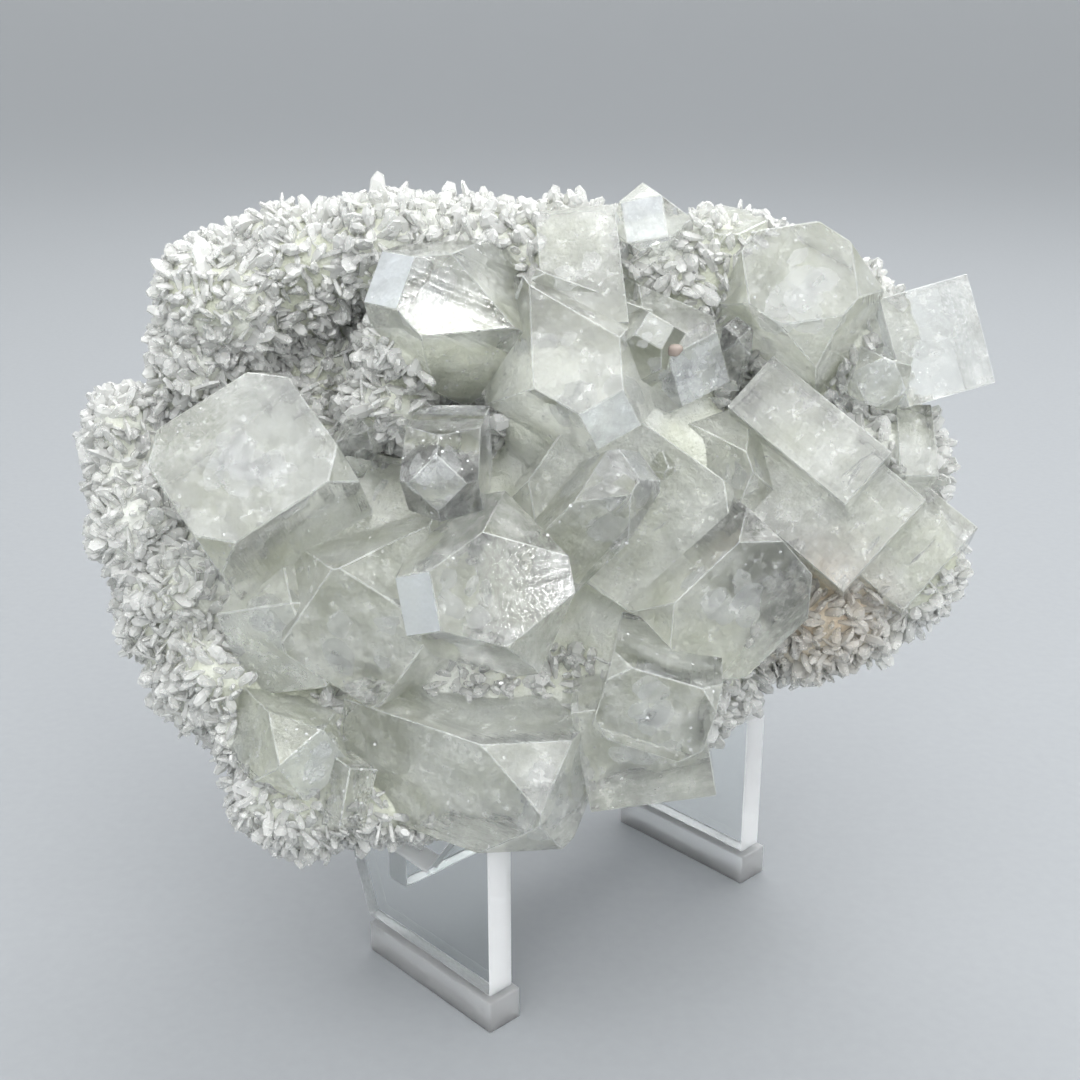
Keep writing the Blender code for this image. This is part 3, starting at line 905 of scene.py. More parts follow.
@dataclass(frozen=True)
class SawnAcrylic:
    """Acrylic sheet's edge as the saw left it.

    Args:
        name: The material's name.
        clear_share: Least and greatest share of light that passes straight through.
    """

    # To the eye: a milky frost that glows with the sheet's light, with fine saw lines
    name: str
    clear_share: tuple[float, float]
    milk: str = "#F6FAFB"
    ior: float = ACRYLIC_IOR
    saw_pitch: float = 0.5
    saw_depth: float = 0.03
    glow_reach: float = 0.004
    waves_per_unit: float = 20.0

    def material(self) -> bpy.types.Material:
        """Return the material of the sawn edges.

        Returns:
            The finished material.
        """
        material, tree = new_material(self.name)
        place = add(tree, "ShaderNodeTexCoord").outputs["Object"]
        # Saw lines are about 0.2 mm apart, and are drawn at 0.5 mm so that they show
        lines = add(
            tree,
            "ShaderNodeTexWave",
            {
                "Vector": place,
                "Scale": grain(self.saw_pitch) / self.waves_per_unit,
                "Distortion": 3.0,
                "Detail": 3.0,
            },
            bands_direction="Z",
        ).outputs["Fac"]
        frost = add(
            tree, "ShaderNodeTexNoise", {"Vector": place, "Scale": grain(0.6), "Detail": 3.0}
        ).outputs["Fac"]
        clear = add(
            tree,
            "ShaderNodeMapRange",
            {"Value": frost, "To Min": self.clear_share[0], "To Max": self.clear_share[1]},
        ).outputs["Result"]
        bump = add(
            tree,
            "ShaderNodeBump",
            {"Height": lines, "Strength": 0.25, "Distance": self.saw_depth * MM},
        )
        shader = add(
            tree,
            "ShaderNodeBsdfPrincipled",
            {
                "Base Color": linear(self.milk),
                "Roughness": 0.35,
                "IOR": self.ior,
                "Subsurface Weight": 1.0,
                "Subsurface Radius": (1.0, 1.0, 1.0),
                "Subsurface Scale": self.glow_reach,
                "Transmission Weight": clear,
                "Normal": bump.outputs["Normal"],
            },
        )
        add(tree, "ShaderNodeOutputMaterial", {"Surface": shader.outputs["BSDF"]})
        return material


@dataclass(frozen=True)
class BackdropPaper:
    """Seamless studio paper, rolled and uncoated."""

    # To the eye: matt and pale grey, with a faint fibre mottle

    paper: str = "#95989B"
    fibre: str = "#8F9295"

    def material(self) -> bpy.types.Material:
        """Return the material of the floor.

        Returns:
            The finished material.
        """
        material, tree = new_material("backdrop_paper")
        place = add(tree, "ShaderNodeTexCoord").outputs["Object"]
        mottle = add(
            tree, "ShaderNodeTexNoise", {"Vector": place, "Scale": grain(1.5), "Detail": 3.0}
        ).outputs["Fac"]
        colour = add(
            tree,
            "ShaderNodeMix",
            {0: mottle, 6: linear(self.paper), 7: linear(self.fibre)},
            data_type="RGBA",
        ).outputs[2]
        shader = add(tree, "ShaderNodeBsdfPrincipled", {"Base Color": colour, "Roughness": 0.75})
        add(tree, "ShaderNodeOutputMaterial", {"Surface": shader.outputs["BSDF"]})
        return material


@dataclass
class BigCrystals:
    """The blocky crystals, grown together into one clear body."""

    crystals: tuple[Crystal, ...] = CRYSTALS
    pyramid_tilt: float = 60.4
    edge_wear: float = 0.10
    side_faces: int = 1
    top_faces: int = 2
    wander: float = 1.7
    sharp_angle: float = 12.0
    end_facing: float = 0.97
    side_facing: float = 0.2
    edge_frost: float = 0.2
    edge_haze: float = 0.12
    pattern_shift: float = 31.0
    seed: int = 5

    def pyramid_normals(self) -> list[Vector]:
        """Return the outward directions of the four pyramid faces, in the crystal's own axes.

        Returns:
            Four directions of length one.
        """
        tilt = math.radians(self.pyramid_tilt)
        out, up = math.sin(tilt), math.cos(tilt)
        turns = (math.radians(45 + 90 * quarter) for quarter in range(4))
        return [Vector((out * math.cos(turn), out * math.sin(turn), up)) for turn in turns]

    def cut(self, body: bmesh.types.BMesh, spot: Vector, outward: Vector) -> None:
        """Cut away what stands beyond a plane, and close the cut.

        Args:
            body: The crystal, in its own axes.
            spot: A point of the plane.
            outward: The direction that is cut away.
        """
        geometry = body.verts[:] + body.edges[:] + body.faces[:]
        made = bmesh.ops.bisect_plane(
            body, geom=geometry, plane_co=spot, plane_no=outward, clear_outer=True
        )
        rim = [item for item in made["geom_cut"] if isinstance(item, bmesh.types.BMEdge)]
        if rim:
            bmesh.ops.contextual_create(body, geom=rim)

    def wandering_cuts(
        self,
        body: bmesh.types.BMesh,
        spot: Vector,
        outward: Vector,
        size: float,
        chance: random.Random,
        count: int,
    ) -> None:
        """Break one face into a few that are a degree or two off it, as grown faces are.

        Args:
            body: The crystal, in its own axes.
            spot: A point near the middle of the face.
            outward: The face's direction.
            size: Half of the face's width.
            chance: The source of chance.
            count: How many cuts to make.
        """
        across = outward.orthogonal().normalized()
        for _ in range(count):
            turned = Matrix.Rotation(chance.uniform(0, math.tau), 3, outward) @ across
            tilt = math.radians(chance.uniform(0.35, 1.0) * self.wander)
            normal = Matrix.Rotation(tilt, 3, outward.cross(turned)) @ outward
            self.cut(body, spot + turned * size * chance.uniform(-0.1, 0.45), normal)

    def shape(self, crystal: Crystal, chance: random.Random) -> bmesh.types.BMesh:
        """Return one crystal in its own axes, with worn edges.

        Args:
            crystal: The crystal's sizes.
            chance: The source of chance.

        Returns:
            A closed bmesh.
        """
        body = bmesh.new()
        bmesh.ops.create_cube(body, size=1.0)
        width, depth = (2 * half for half in crystal.half)
        bmesh.ops.scale(body, verts=body.verts[:], vec=(width, depth, crystal.length))
        bmesh.ops.translate(body, verts=body.verts[:], vec=(0, 0, -crystal.length / 2))
        reach = crystal.facet * math.sin(math.radians(self.pyramid_tilt))
        middle = Vector((0, 0, -0.35 * min(crystal.half)))
        for normal in self.pyramid_normals():
            self.cut(body, normal * reach, normal)
            spot = middle + normal * (reach - normal.dot(middle))
            self.wandering_cuts(body, spot, normal, min(crystal.half), chance, self.top_faces)
        for side, half in zip((Vector((1, 0, 0)), Vector((0, 1, 0))), crystal.half):
            for outward in (side, -side):
                spot = outward * half + Vector((0, 0, -0.3 * crystal.length))
                self.wandering_cuts(body, spot, outward, min(crystal.half), chance, self.side_faces)
        bmesh.ops.remove_doubles(body, verts=body.verts[:], dist=0.1)
        bmesh.ops.dissolve_degenerate(body, edges=body.edges[:], dist=0.01)
        least = math.radians(self.sharp_angle)
        inner = [edge for edge in body.edges if len(edge.link_faces) == 2]
        sharp = [edge for edge in inner if edge.calc_face_angle() > least]
        wear = self.edge_wear * chance.uniform(0.7, 1.3)
        made = bmesh.ops.bevel(
            body, geom=sharp, offset=wear, segments=1, affect="EDGES", clamp_overlap=True
        )
        for face in made["faces"]:
            face.material_index = 1
        bmesh.ops.recalc_face_normals(body, faces=body.faces[:])
        return body

    def mark(self, body: bmesh.types.BMesh, crystal: Crystal, shift: float) -> None:
        """Store where each face lies along the crystal, and how the crystal grew.

        Args:
            body: The crystal, in its own axes.
            crystal: The crystal's sizes.
            shift: An offset that keeps two crystals' patterns apart.
        """
        uv = body.loops.layers.uv.new("face_mm")
        growth = body.loops.layers.float_color.new("growth")
        milk, green = crystal.clarity.value
        for face in body.faces:
            normal = face.normal
            end = crystal.frost if normal.z > self.end_facing else 0.0
            side = 1.0 if abs(normal.z) < self.side_facing else 0.0
            haze = milk
            if face.material_index:
                end, side, haze = self.edge_frost, 0.0, milk + self.edge_haze
                face.material_index = 0
            across = Vector((-normal.y, normal.x, 0.0))
            across = across.normalized() if across.length > 0.05 else Vector((1.0, 0.0, 0.0))
            along = normal.cross(across)
            for loop in face.loops:
                loop[uv].uv = (loop.vert.co.dot(across) + shift, loop.vert.co.dot(along))
                loop[growth] = (end, haze, green, side)

    def build(self) -> bpy.types.Object:
        """Return the crystals as one closed body in the face frame.

        Returns:
            The joined crystals, with the face_mm map and the growth attribute.
        """
        chance = random.Random(self.seed)
        group = bpy.data.collections.new("crystals_to_join")
        bpy.context.scene.collection.children.link(group)
        made = []
        for number, crystal in enumerate(self.crystals):
            body = self.shape(crystal, chance)
            self.mark(body, crystal, self.pattern_shift * number)
            body.transform(crystal.place())
            made.append(object_from("grown_" + crystal.name.replace(" ", "_"), body))
        first, others = made[0], made[1:]
        for other in others:
            bpy.context.scene.collection.objects.unlink(other)
            group.objects.link(other)
        join = first.modifiers.new("grown_together", "BOOLEAN")
        join.operation = "UNION"
        join.solver = "EXACT"
        join.operand_type = "COLLECTION"
        join.collection = group
        mesh = applied(first)
        for obj in made:
            bpy.data.objects.remove(obj)
        bpy.data.collections.remove(group)
        mesh.name = "big_crystals"
        log.info("big crystals joined: %d faces", len(mesh.polygons))
        return new_object("big_crystals", mesh)

    def dress(self, obj: bpy.types.Object, material: bpy.types.Material) -> bpy.types.Object:
        """Give the crystals their finish and seat them.

        Args:
            obj: The crystals, in the face frame.
            material: Their finish.

        Returns:
            The piece, seated.
        """
        obj.data.materials.clear()
        obj.data.materials.append(material)
        to_row(obj)
        return seat(obj, "crystal", "crystal_cluster")


@dataclass
class Ground:
    """The massive ground that the crystals and the crust grow on."""

    voxel: float = 0.9
    roughness: float = 1.6
    noise_scale: float = 0.095
    octaves: int = 3
    fine_roughness: float = 0.35
    fine_scale: float = 0.6
    window: tuple[float, float] = (-9.6, 13.4)
    window_half: tuple[float, float] = (3.6, 2.4)
    window_turn: float = -12.0
    window_depth: float = 60.0

    def melt(self, ground: bpy.types.Object) -> None:
        """Melt the mesh into one even closed surface.

        Args:
            ground: The ground, which is changed.
        """
        melt = ground.modifiers.new("melt", "REMESH")
        melt.mode = "VOXEL"
        melt.voxel_size = self.voxel
        finish_modifiers(ground)

    def open_window(self, ground: bpy.types.Object) -> None:
        """Cut the small see-through gap.

        Args:
            ground: The ground, which is changed.
        """
        bm = bmesh.new()
        bmesh.ops.create_cone(
            bm, cap_ends=True, segments=11, radius1=1.0, radius2=1.0, depth=self.window_depth
        )
        turn = Matrix.Rotation(math.radians(self.window_turn), 4, "Z")
        place = Matrix.Translation((*self.window, 0.0)) @ turn
        bm.transform(place @ Matrix.Diagonal((*self.window_half, 1.0, 1.0)))
        cutter = object_from("window", bm)
        cut = ground.modifiers.new("window", "BOOLEAN")
        cut.operation = "DIFFERENCE"
        cut.object = cutter
        cut.solver = "EXACT"
        finish_modifiers(ground)
        bpy.data.objects.remove(cutter)

    def build(self) -> bpy.types.Object:
        """Return the ground in the face frame.

        Returns:
            The ground, melted and roughened.
        """
        bm = bmesh.new()
        for centre, half in LUMPS:
            made = bmesh.ops.create_icosphere(bm, subdivisions=3, radius=1.0)
            place = Matrix.Translation(Vector(centre)) @ Matrix.Diagonal((*half, 1.0))
            bmesh.ops.transform(bm, matrix=place, verts=made["verts"])
        ground = object_from("ground", bm)
        self.melt(ground)
        self.open_window(ground)
        self.melt(ground)
        outward = [vertex.normal.copy() for vertex in ground.data.vertices]
        for vertex, way in zip(ground.data.vertices, outward):
            swell = noise.fractal(vertex.co * self.noise_scale, 1.0, 2.0, self.octaves)
            fine = noise.fractal(vertex.co * self.fine_scale, 1.0, 2.0, 2)
            vertex.co += way * (swell * self.roughness + fine * self.fine_roughness)
        ground.data.update()
        log.info("ground melted: %d faces", len(ground.data.polygons))
        return ground

    def dress(self, obj: bpy.types.Object, material: bpy.types.Material) -> bpy.types.Object:
        """Give the ground its finish and seat it.

        Args:
            obj: The ground, in the face frame.
            material: Its finish.

        Returns:
            The piece, seated.
        """
        obj.data.materials.clear()
        obj.data.materials.append(material)
        obj.data.shade_smooth()
        to_row(obj)
        return seat(obj, "crystal")


@dataclass
class Blades:
    """The few shapes of blade that the crust repeats: flat, blunt and rounded like melting ice."""

    count: int = 8
    length: tuple[float, float] = (1.5, 2.7)
    width: tuple[float, float] = (1.2, 2.2)
    flatness: tuple[float, float] = (0.35, 0.65)
    root: float = 0.7
    sides: int = 6
    seed: int = 21

    def blade(self, chance: random.Random) -> bmesh.types.BMesh:
        """Return one blunt blade that stands on the origin along Z.

        Args:
            chance: The source of chance.

        Returns:
            A closed bmesh.
        """
        length = chance.uniform(*self.length)
        half = chance.uniform(*self.width) / 2
        flat = half * chance.uniform(*self.flatness)
        lopsided = chance.uniform(-0.25, 0.25)
        bm = bmesh.new()
        levels = ((-self.root, 0.6), (0.6 * length, 1.0), (0.94 * length, 0.5))
        rings = []
        for height, spread in levels:
            ring = []
            for k in range(self.sides):
                turn = math.tau * (k + 0.5) / self.sides
                x, y = math.cos(turn) * half * spread, math.sin(turn) * flat * spread
                ring.append(bm.verts.new((x + lopsided * height * 0.4, y, height + lopsided * x)))
            rings.append(ring)
        for low, high in zip(rings, rings[1:]):
            for k in range(self.sides):
                after = (k + 1) % self.sides
                bm.faces.new((low[k], low[after], high[after], high[k]))
        bm.faces.new(rings[-1])
        bm.faces.new(list(reversed(rings[0])))
        bmesh.ops.recalc_face_normals(bm, faces=bm.faces[:])
        return bm

    def build(self) -> bpy.types.Collection:
        """Return a hidden collection of blades.

        Returns:
            The blade shapes, outside the scene.
        """
        chance = random.Random(self.seed)
        group = bpy.data.collections.new("blade_shapes")
        for number in range(self.count):
            blade = object_from(f"blade_shape_{number}", self.blade(chance))
            bpy.context.scene.collection.objects.unlink(blade)
            group.objects.link(blade)
        return group


@dataclass
class Crust:
    """A druse of small blades over the bare ground, made by Geometry Nodes.

    Args:
        name: The piece's name.
        lowest: The least depth w that a blade stands at.
        highest: The greatest depth w that a blade stands at.
        spacing: Least distance between two blades.
        smallest: Scale of the smallest blade.
        largest: Scale of the largest blade.
        lean: Most that a blade leans from the ground's direction, in degrees.
        clearance: Free way that a blade needs in front of it.
        stand_gap: Distance that blades keep from the stand.
        sight: How far the test for crystals in front of a blade looks.
        tries: Spots tried on each square of the spacing, of which the free ones are kept.
        window: Where the see-through gap is, and how far from it blades start.
        bare: Where the massive middle is, and how far from it blades start.
        seed: Seed of the scatter.
    """

    name: str
    lowest: float
    highest: float
    spacing: float = 0.8
    smallest: float = 0.6
    largest: float = 1.2
    lean: float = 68.0
    clearance: float = 0.7
    stand_gap: float = 2.6
    sight: float = 60.0
    tries: float = 2.2
    window: FaceSpot = (-9.6, 13.4, 3.1)
    bare: FaceSpot = (9.0, 2.5, 15.5)
    seed: int = 3

    def scatter(self) -> Scatter:
        """Return the scatter's name and its named inputs.

        Returns:
            The scatter, which makes no tree yet.
        """
        sizes = ("Spacing", "Density", "Smallest", "Largest", "Lean", "Clearance", "Stand Gap")
        limits = ("Lowest", "Highest", "Window Reach", "Bare Reach")
        sockets = {"Crystals": "Object", "Stand": "Object"}
        sockets |= {"Blades": "Collection", "Finish": "Material"}
        sockets |= {name: "Float" for name in sizes + limits}
        sockets |= {"Window": "Vector", "Bare": "Vector", "Seed": "Int"}
        return Scatter("scatter_blades", sockets)

    def tree(self, kit: Scatter) -> bpy.types.NodeTree:
        """Return the Geometry Nodes tree that scatters the blades.

        Args:
            kit: The scatter that makes the tree.

        Returns:
            The finished tree.
        """
        tree, given = kit.start()
        scatter = add(
            tree,
            "GeometryNodeDistributePointsOnFaces",
            {
                "Mesh": given["Geometry"],
                "Distance Min": given["Spacing"],
                "Density Max": given["Density"],
                "Seed": given["Seed"],
            },
            distribute_method="POISSON",
        ).outputs
        crystals = add(
            tree, "GeometryNodeObjectInfo", {"Object": given["Crystals"]}
        ).outputs["Geometry"]
        ray = add(
            tree,
            "GeometryNodeRaycast",
            {
                "Target Geometry": crystals,
                "Ray Direction": scatter["Normal"],
                "Ray Length": self.sight,
            },
        ).outputs
        facing = add(
            tree,
            "ShaderNodeVectorMath",
            {0: ray["Hit Normal"], 1: scatter["Normal"]},
            operation="DOT_PRODUCT",
        ).outputs["Value"]
        leaving = add(
            tree, "FunctionNodeCompare", {0: facing, 1: 0.0}, operation="GREATER_THAN"
        ).outputs[0]
        close = add(
            tree,
            "FunctionNodeCompare",
            {0: ray["Hit Distance"], 1: given["Clearance"]},
            operation="LESS_THAN",
        ).outputs[0]
        blocked = add(
            tree, "FunctionNodeBooleanMath", {0: leaving, 1: close}, operation="OR"
        ).outputs[0]
        blocked = add(
            tree, "FunctionNodeBooleanMath", {0: blocked, 1: ray["Is Hit"]}, operation="AND"
        ).outputs[0]
        stand = add(tree, "GeometryNodeObjectInfo", {"Object": given["Stand"]}).outputs["Geometry"]
        near = add(
            tree, "GeometryNodeProximity", {0: stand}, target_element="FACES"
        ).outputs["Distance"]
        near = add(
            tree, "FunctionNodeCompare", {0: near, 1: given["Stand Gap"]}, operation="LESS_THAN"
        ).outputs[0]
        blocked = add(
            tree, "FunctionNodeBooleanMath", {0: blocked, 1: near}, operation="OR"
        ).outputs[0]
        place = add(tree, "GeometryNodeInputPosition").outputs[0]
        depth = add(tree, "ShaderNodeSeparateXYZ", {0: place}).outputs["Z"]
        for limit, operation in (("Lowest", "LESS_THAN"), ("Highest", "GREATER_EQUAL")):
            past = add(
                tree, "FunctionNodeCompare", {0: depth, 1: given[limit]}, operation=operation
            ).outputs[0]
            blocked = add(
                tree, "FunctionNodeBooleanMath", {0: blocked, 1: past}, operation="OR"
            ).outputs[0]
        flat = add(
            tree, "ShaderNodeVectorMath", {0: place, 1: (1.0, 1.0, 0.0)}, operation="MULTIPLY"
        ).outputs[0]
        for spot in ("Window", "Bare"):
            away = add(
                tree, "ShaderNodeVectorMath", {0: flat, 1: given[spot]}, operation="DISTANCE"
            ).outputs["Value"]
            past = add(
                tree,
                "FunctionNodeCompare",
                {0: away, 1: given[spot + " Reach"]},
                operation="LESS_THAN",
            ).outputs[0]
            blocked = add(
                tree, "FunctionNodeBooleanMath", {0: blocked, 1: past}, operation="OR"
            ).outputs[0]
        points = add(
            tree,
            "GeometryNodeDeleteGeometry",
            {"Geometry": scatter["Points"], "Selection": blocked},
        ).outputs[0]
        turn = kit.turned(tree, scatter["Rotation"], given["Lean"])
        shapes = add(
            tree,
            "GeometryNodeCollectionInfo",
            {"Collection": given["Blades"], "Separate Children": True, "Reset Children": True},
        ).outputs[0]
        pick = add(
            tree, "FunctionNodeRandomValue", {4: 0, 5: 63, "Seed": 4}, data_type="INT"
        ).outputs[2]
        made = {"Points": points, "Instance": shapes, "Rotation": turn}
        made |= {"Pick Instance": True, "Instance Index": pick}
        kit.end(tree, made, (given["Smallest"], given["Largest"]), given["Finish"])
        return tree

    def build(
        self,
        ground: bpy.types.Object,
        crystals: bpy.types.Object,
        stand: bpy.types.Object,
        blades: bpy.types.Collection,
        material: bpy.types.Material,
    ) -> None:
        """Grow the crust on the ground and seat it as one plain mesh.

        Args:
            ground: The ground, in the face frame.
            crystals: The big crystals, in the face frame.
            stand: The stand's solids, in the face frame.
            blades: The blade shapes.
            material: The crust's finish.
        """
        kit = self.scatter()
        values = {
            "Crystals": crystals,
            "Stand": stand,
            "Blades": blades,
            "Finish": material,
            "Spacing": self.spacing,
            "Density": self.tries / self.spacing**2,
            "Smallest": self.smallest,
            "Largest": self.largest,
            "Lean": math.radians(self.lean),
            "Clearance": self.clearance,
            "Stand Gap": self.stand_gap,
            "Lowest": self.lowest,
            "Highest": self.highest,
            "Window": (*self.window[:2], 0.0),
            "Window Reach": self.window[2],
            "Bare": (*self.bare[:2], 0.0),
            "Bare Reach": self.bare[2],
            "Seed": self.seed,
        }
        kit.grow(self.tree(kit), new_object(self.name, ground.data.copy()), values)


@dataclass
class Flecks:
    """Tiny white plates on and just under the crystals' faces, made by Geometry Nodes: small growth plates
    whose white is a painted glint, standing in for light sparkling on the faces.

    Args:
        per_square: Plates on each square millimetre where they gather.
        width: Least and greatest width of a plate.
        patch: Size of the patches that they gather in.
        tilt: Most that a plate leans from the face, in degrees.
        deepest: How far under the face a plate may lie.
        seed: Seed of the scatter.
    """

    per_square: float = 1.8
    width: tuple[float, float] = (0.10, 0.38)
    patch: float = 5.0
    tilt: float = 24.0
    deepest: float = 0.5
    seed: int = 14

    def plate(self) -> bpy.types.Object:
        """Return one thin plate of unit width, outside the scene.

        Returns:
            The plate's object.
        """
        bm = bmesh.new()
        rim = [(0.5, 0.1), (0.2, 0.42), (-0.3, 0.3), (-0.5, -0.15), (-0.1, -0.4), (0.4, -0.25)]
        over = [bm.verts.new((x, y, 0.05)) for x, y in rim]
        under = [bm.verts.new((x, y, -0.05)) for x, y in rim]
        bm.faces.new(over)
        bm.faces.new(list(reversed(under)))
        for k in range(6):
            after = (k + 1) % 6
            bm.faces.new((under[k], under[after], over[after], over[k]))
        plate = object_from("fleck_shape", bm)
        bpy.context.scene.collection.objects.unlink(plate)
        return plate

    def scatter(self) -> Scatter:
        """Return the scatter's name and its named inputs.

        Returns:
            The scatter, which makes no tree yet.
        """
        sizes = ("Density", "Narrowest", "Widest", "Patch", "Tilt", "Deepest")
        sockets = {"Plate": "Object", "Finish": "Material", "Seed": "Int"}
        return Scatter("scatter_flecks", sockets | {name: "Float" for name in sizes})

    def tree(self, kit: Scatter) -> bpy.types.NodeTree:
        """Return the Geometry Nodes tree that scatters the plates.

        Args:
            kit: The scatter that makes the tree.

        Returns:
            The finished tree.
        """
        tree, given = kit.start()
        scale = add(
            tree, "ShaderNodeMath", {0: 1.0, 1: given["Patch"]}, operation="DIVIDE"
        ).outputs[0]
        gather = add(
            tree, "ShaderNodeTexNoise", {"Scale": scale, "Detail": 3.0, "Roughness": 0.6}
        ).outputs["Fac"]
        gather = add(
            tree, "ShaderNodeMapRange", {"Value": gather, "From Min": 0.5, "From Max": 0.72}
        ).outputs["Result"]
        growth = add(
            tree, "GeometryNodeInputNamedAttribute", {"Name": "growth"}, data_type="FLOAT_COLOR"
        ).outputs[0]
        green = add(tree, "FunctionNodeSeparateColor", {"Color": growth}).outputs["Blue"]
        # The clearest crystals hold the most plates
        clear = add(
            tree,
            "ShaderNodeMapRange",
            {"Value": green, "From Min": 0.15, "From Max": 0.30, "To Min": 1.0, "To Max": 0.12},
        ).outputs["Result"]
        gather = add(tree, "ShaderNodeMath", {0: gather, 1: clear}, operation="MULTIPLY").outputs[0]
        density = add(
            tree, "ShaderNodeMath", {0: given["Density"], 1: gather}, operation="MULTIPLY"
        ).outputs[0]
        scatter = add(
            tree,
            "GeometryNodeDistributePointsOnFaces",
            {"Mesh": given["Geometry"], "Density": density, "Seed": given["Seed"]},
        ).outputs
        sink = add(
            tree, "FunctionNodeRandomValue", {2: 0.0, 3: 1.0, "Seed": 3}, data_type="FLOAT"
        ).outputs[1]
        sink = add(tree, "ShaderNodeMath", {0: sink, 1: 3.0}, operation="POWER").outputs[0]
        sink = add(
            tree, "ShaderNodeMath", {0: sink, 1: given["Deepest"]}, operation="MULTIPLY"
        ).outputs[0]
        sink = add(tree, "ShaderNodeMath", {0: sink, 1: -1.0}, operation="MULTIPLY").outputs[0]
        offset = add(
            tree, "ShaderNodeVectorMath", {0: scatter["Normal"], "Scale": sink}, operation="SCALE"
        ).outputs[0]
        points = add(
            tree, "GeometryNodeSetPosition", {"Geometry": scatter["Points"], "Offset": offset}
        ).outputs[0]
        turn = kit.turned(tree, scatter["Rotation"], given["Tilt"])
        plate = add(tree, "GeometryNodeObjectInfo", {"Object": given["Plate"]}).outputs["Geometry"]
        made = {"Points": points, "Instance": plate, "Rotation": turn}
        kit.end(tree, made, (given["Narrowest"], given["Widest"]), given["Finish"])
        return tree

    def build(self, crystals: bpy.types.Object, material: bpy.types.Material) -> None:
        """Scatter the flecks over the crystals and seat them as one plain mesh.

        Args:
            crystals: The big crystals, in the face frame.
            material: The flecks' finish.
        """
        kit = self.scatter()
        values = {
            "Plate": self.plate(),
            "Finish": material,
            "Density": self.per_square,
            "Narrowest": self.width[0],
            "Widest": self.width[1],
            "Patch": self.patch,
            "Tilt": math.radians(self.tilt),
            "Deepest": self.deepest,
            "Seed": self.seed,
        }
        kit.grow(self.tree(kit), new_object("bright_flecks", crystals.data.copy()), values)


@dataclass
class Cracks:
    """Thin cleavage cracks and the clay bubble inside the clear crystals."""

    seed: int = 9
    radius: tuple[float, float] = (0.8, 2.6)
    ragged: tuple[float, float] = (0.8, 1.1)
    rim_points: int = 14
    lean: float = 14.0
    spread: float = 0.45
    least_half: float = 3.0
    thickness: float = 0.05
    bubble_spot: FaceSpot = (13.6, 19.4, 12.4)
    bubble_size: FaceSpot = (1.0, 0.65, 0.65)

    def sheet(
        self, bm: bmesh.types.BMesh, place: Matrix, radius: float, chance: random.Random
    ) -> None:
        """Add one closed ragged lens.

        Args:
            bm: The mesh that takes it.
            place: Its placement.
            radius: Its mean radius.
            chance: The source of chance.
        """
        rim = []
        for k in range(self.rim_points):
            turn = math.tau * k / self.rim_points
            far = radius * chance.uniform(*self.ragged)
            spot = Vector((far * math.cos(turn), 0.7 * far * math.sin(turn), 0.0))
            rim.append(bm.verts.new(place @ spot))
        over = bm.verts.new(place @ Vector((0.0, 0.0, self.thickness)))
        under = bm.verts.new(place @ Vector((0.0, 0.0, -self.thickness)))
        for here, after in zip(rim, rim[1:] + rim[:1]):
            bm.faces.new((here, after, over))
            bm.faces.new((after, here, under))

    def build(self, material: bpy.types.Material) -> bpy.types.Object:
        """Return the cracks in the row frame, seated.

        Args:
            material: The cracks' finish.

        Returns:
            The piece, seated.
        """
        chance = random.Random(self.seed)
        bm = bmesh.new()
        for crystal in CRYSTALS:
            smallest = min(crystal.half)
            if smallest < self.least_half:
                continue
            for _ in range(crystal.cracks):
                depth = -chance.uniform(0.12, 0.8) * smallest
                u, v = (chance.uniform(-self.spread, self.spread) for _ in range(2))
                spot = Vector((u, v, 0)) * smallest + Vector((0, 0, depth))
                place = crystal.place() @ Matrix.Translation(spot)
                for axis in "XY":
                    lean = math.radians(chance.uniform(-self.lean, self.lean))
                    place @= Matrix.Rotation(lean, 4, axis)
                place @= Matrix.Rotation(chance.uniform(0, math.tau), 4, "Z")
                self.sheet(bm, place, min(chance.uniform(*self.radius), 0.42 * smallest), chance)
        bmesh.ops.recalc_face_normals(bm, faces=bm.faces[:])
        cracks = object_from("cleavage_cracks", bm)
        cracks.data.materials.append(material)
        to_row(cracks)
        return seat(cracks, "crystal")

    def build_bubble(self, material: bpy.types.Material) -> bpy.types.Object:
        """Return the bubble in the row frame, seated.

        Args:
            material: The bubble's finish.

        Returns:
            The piece, seated.
        """
        bm = bmesh.new()
        place = Matrix.Translation(Vector(self.bubble_spot))
        place @= Matrix.Diagonal((*self.bubble_size, 1.0))
        bmesh.ops.create_icosphere(bm, subdivisions=3, radius=1.0, matrix=place)
        for vertex in bm.verts:
            vertex.co += vertex.normal * noise.noise(vertex.co * 1.4) * 0.25
        bubble = object_from("clay_bubble", bm)
        bubble.data.materials.append(material)
        bubble.data.shade_smooth()
        to_row(bubble)
        return seat(bubble, "crystal")


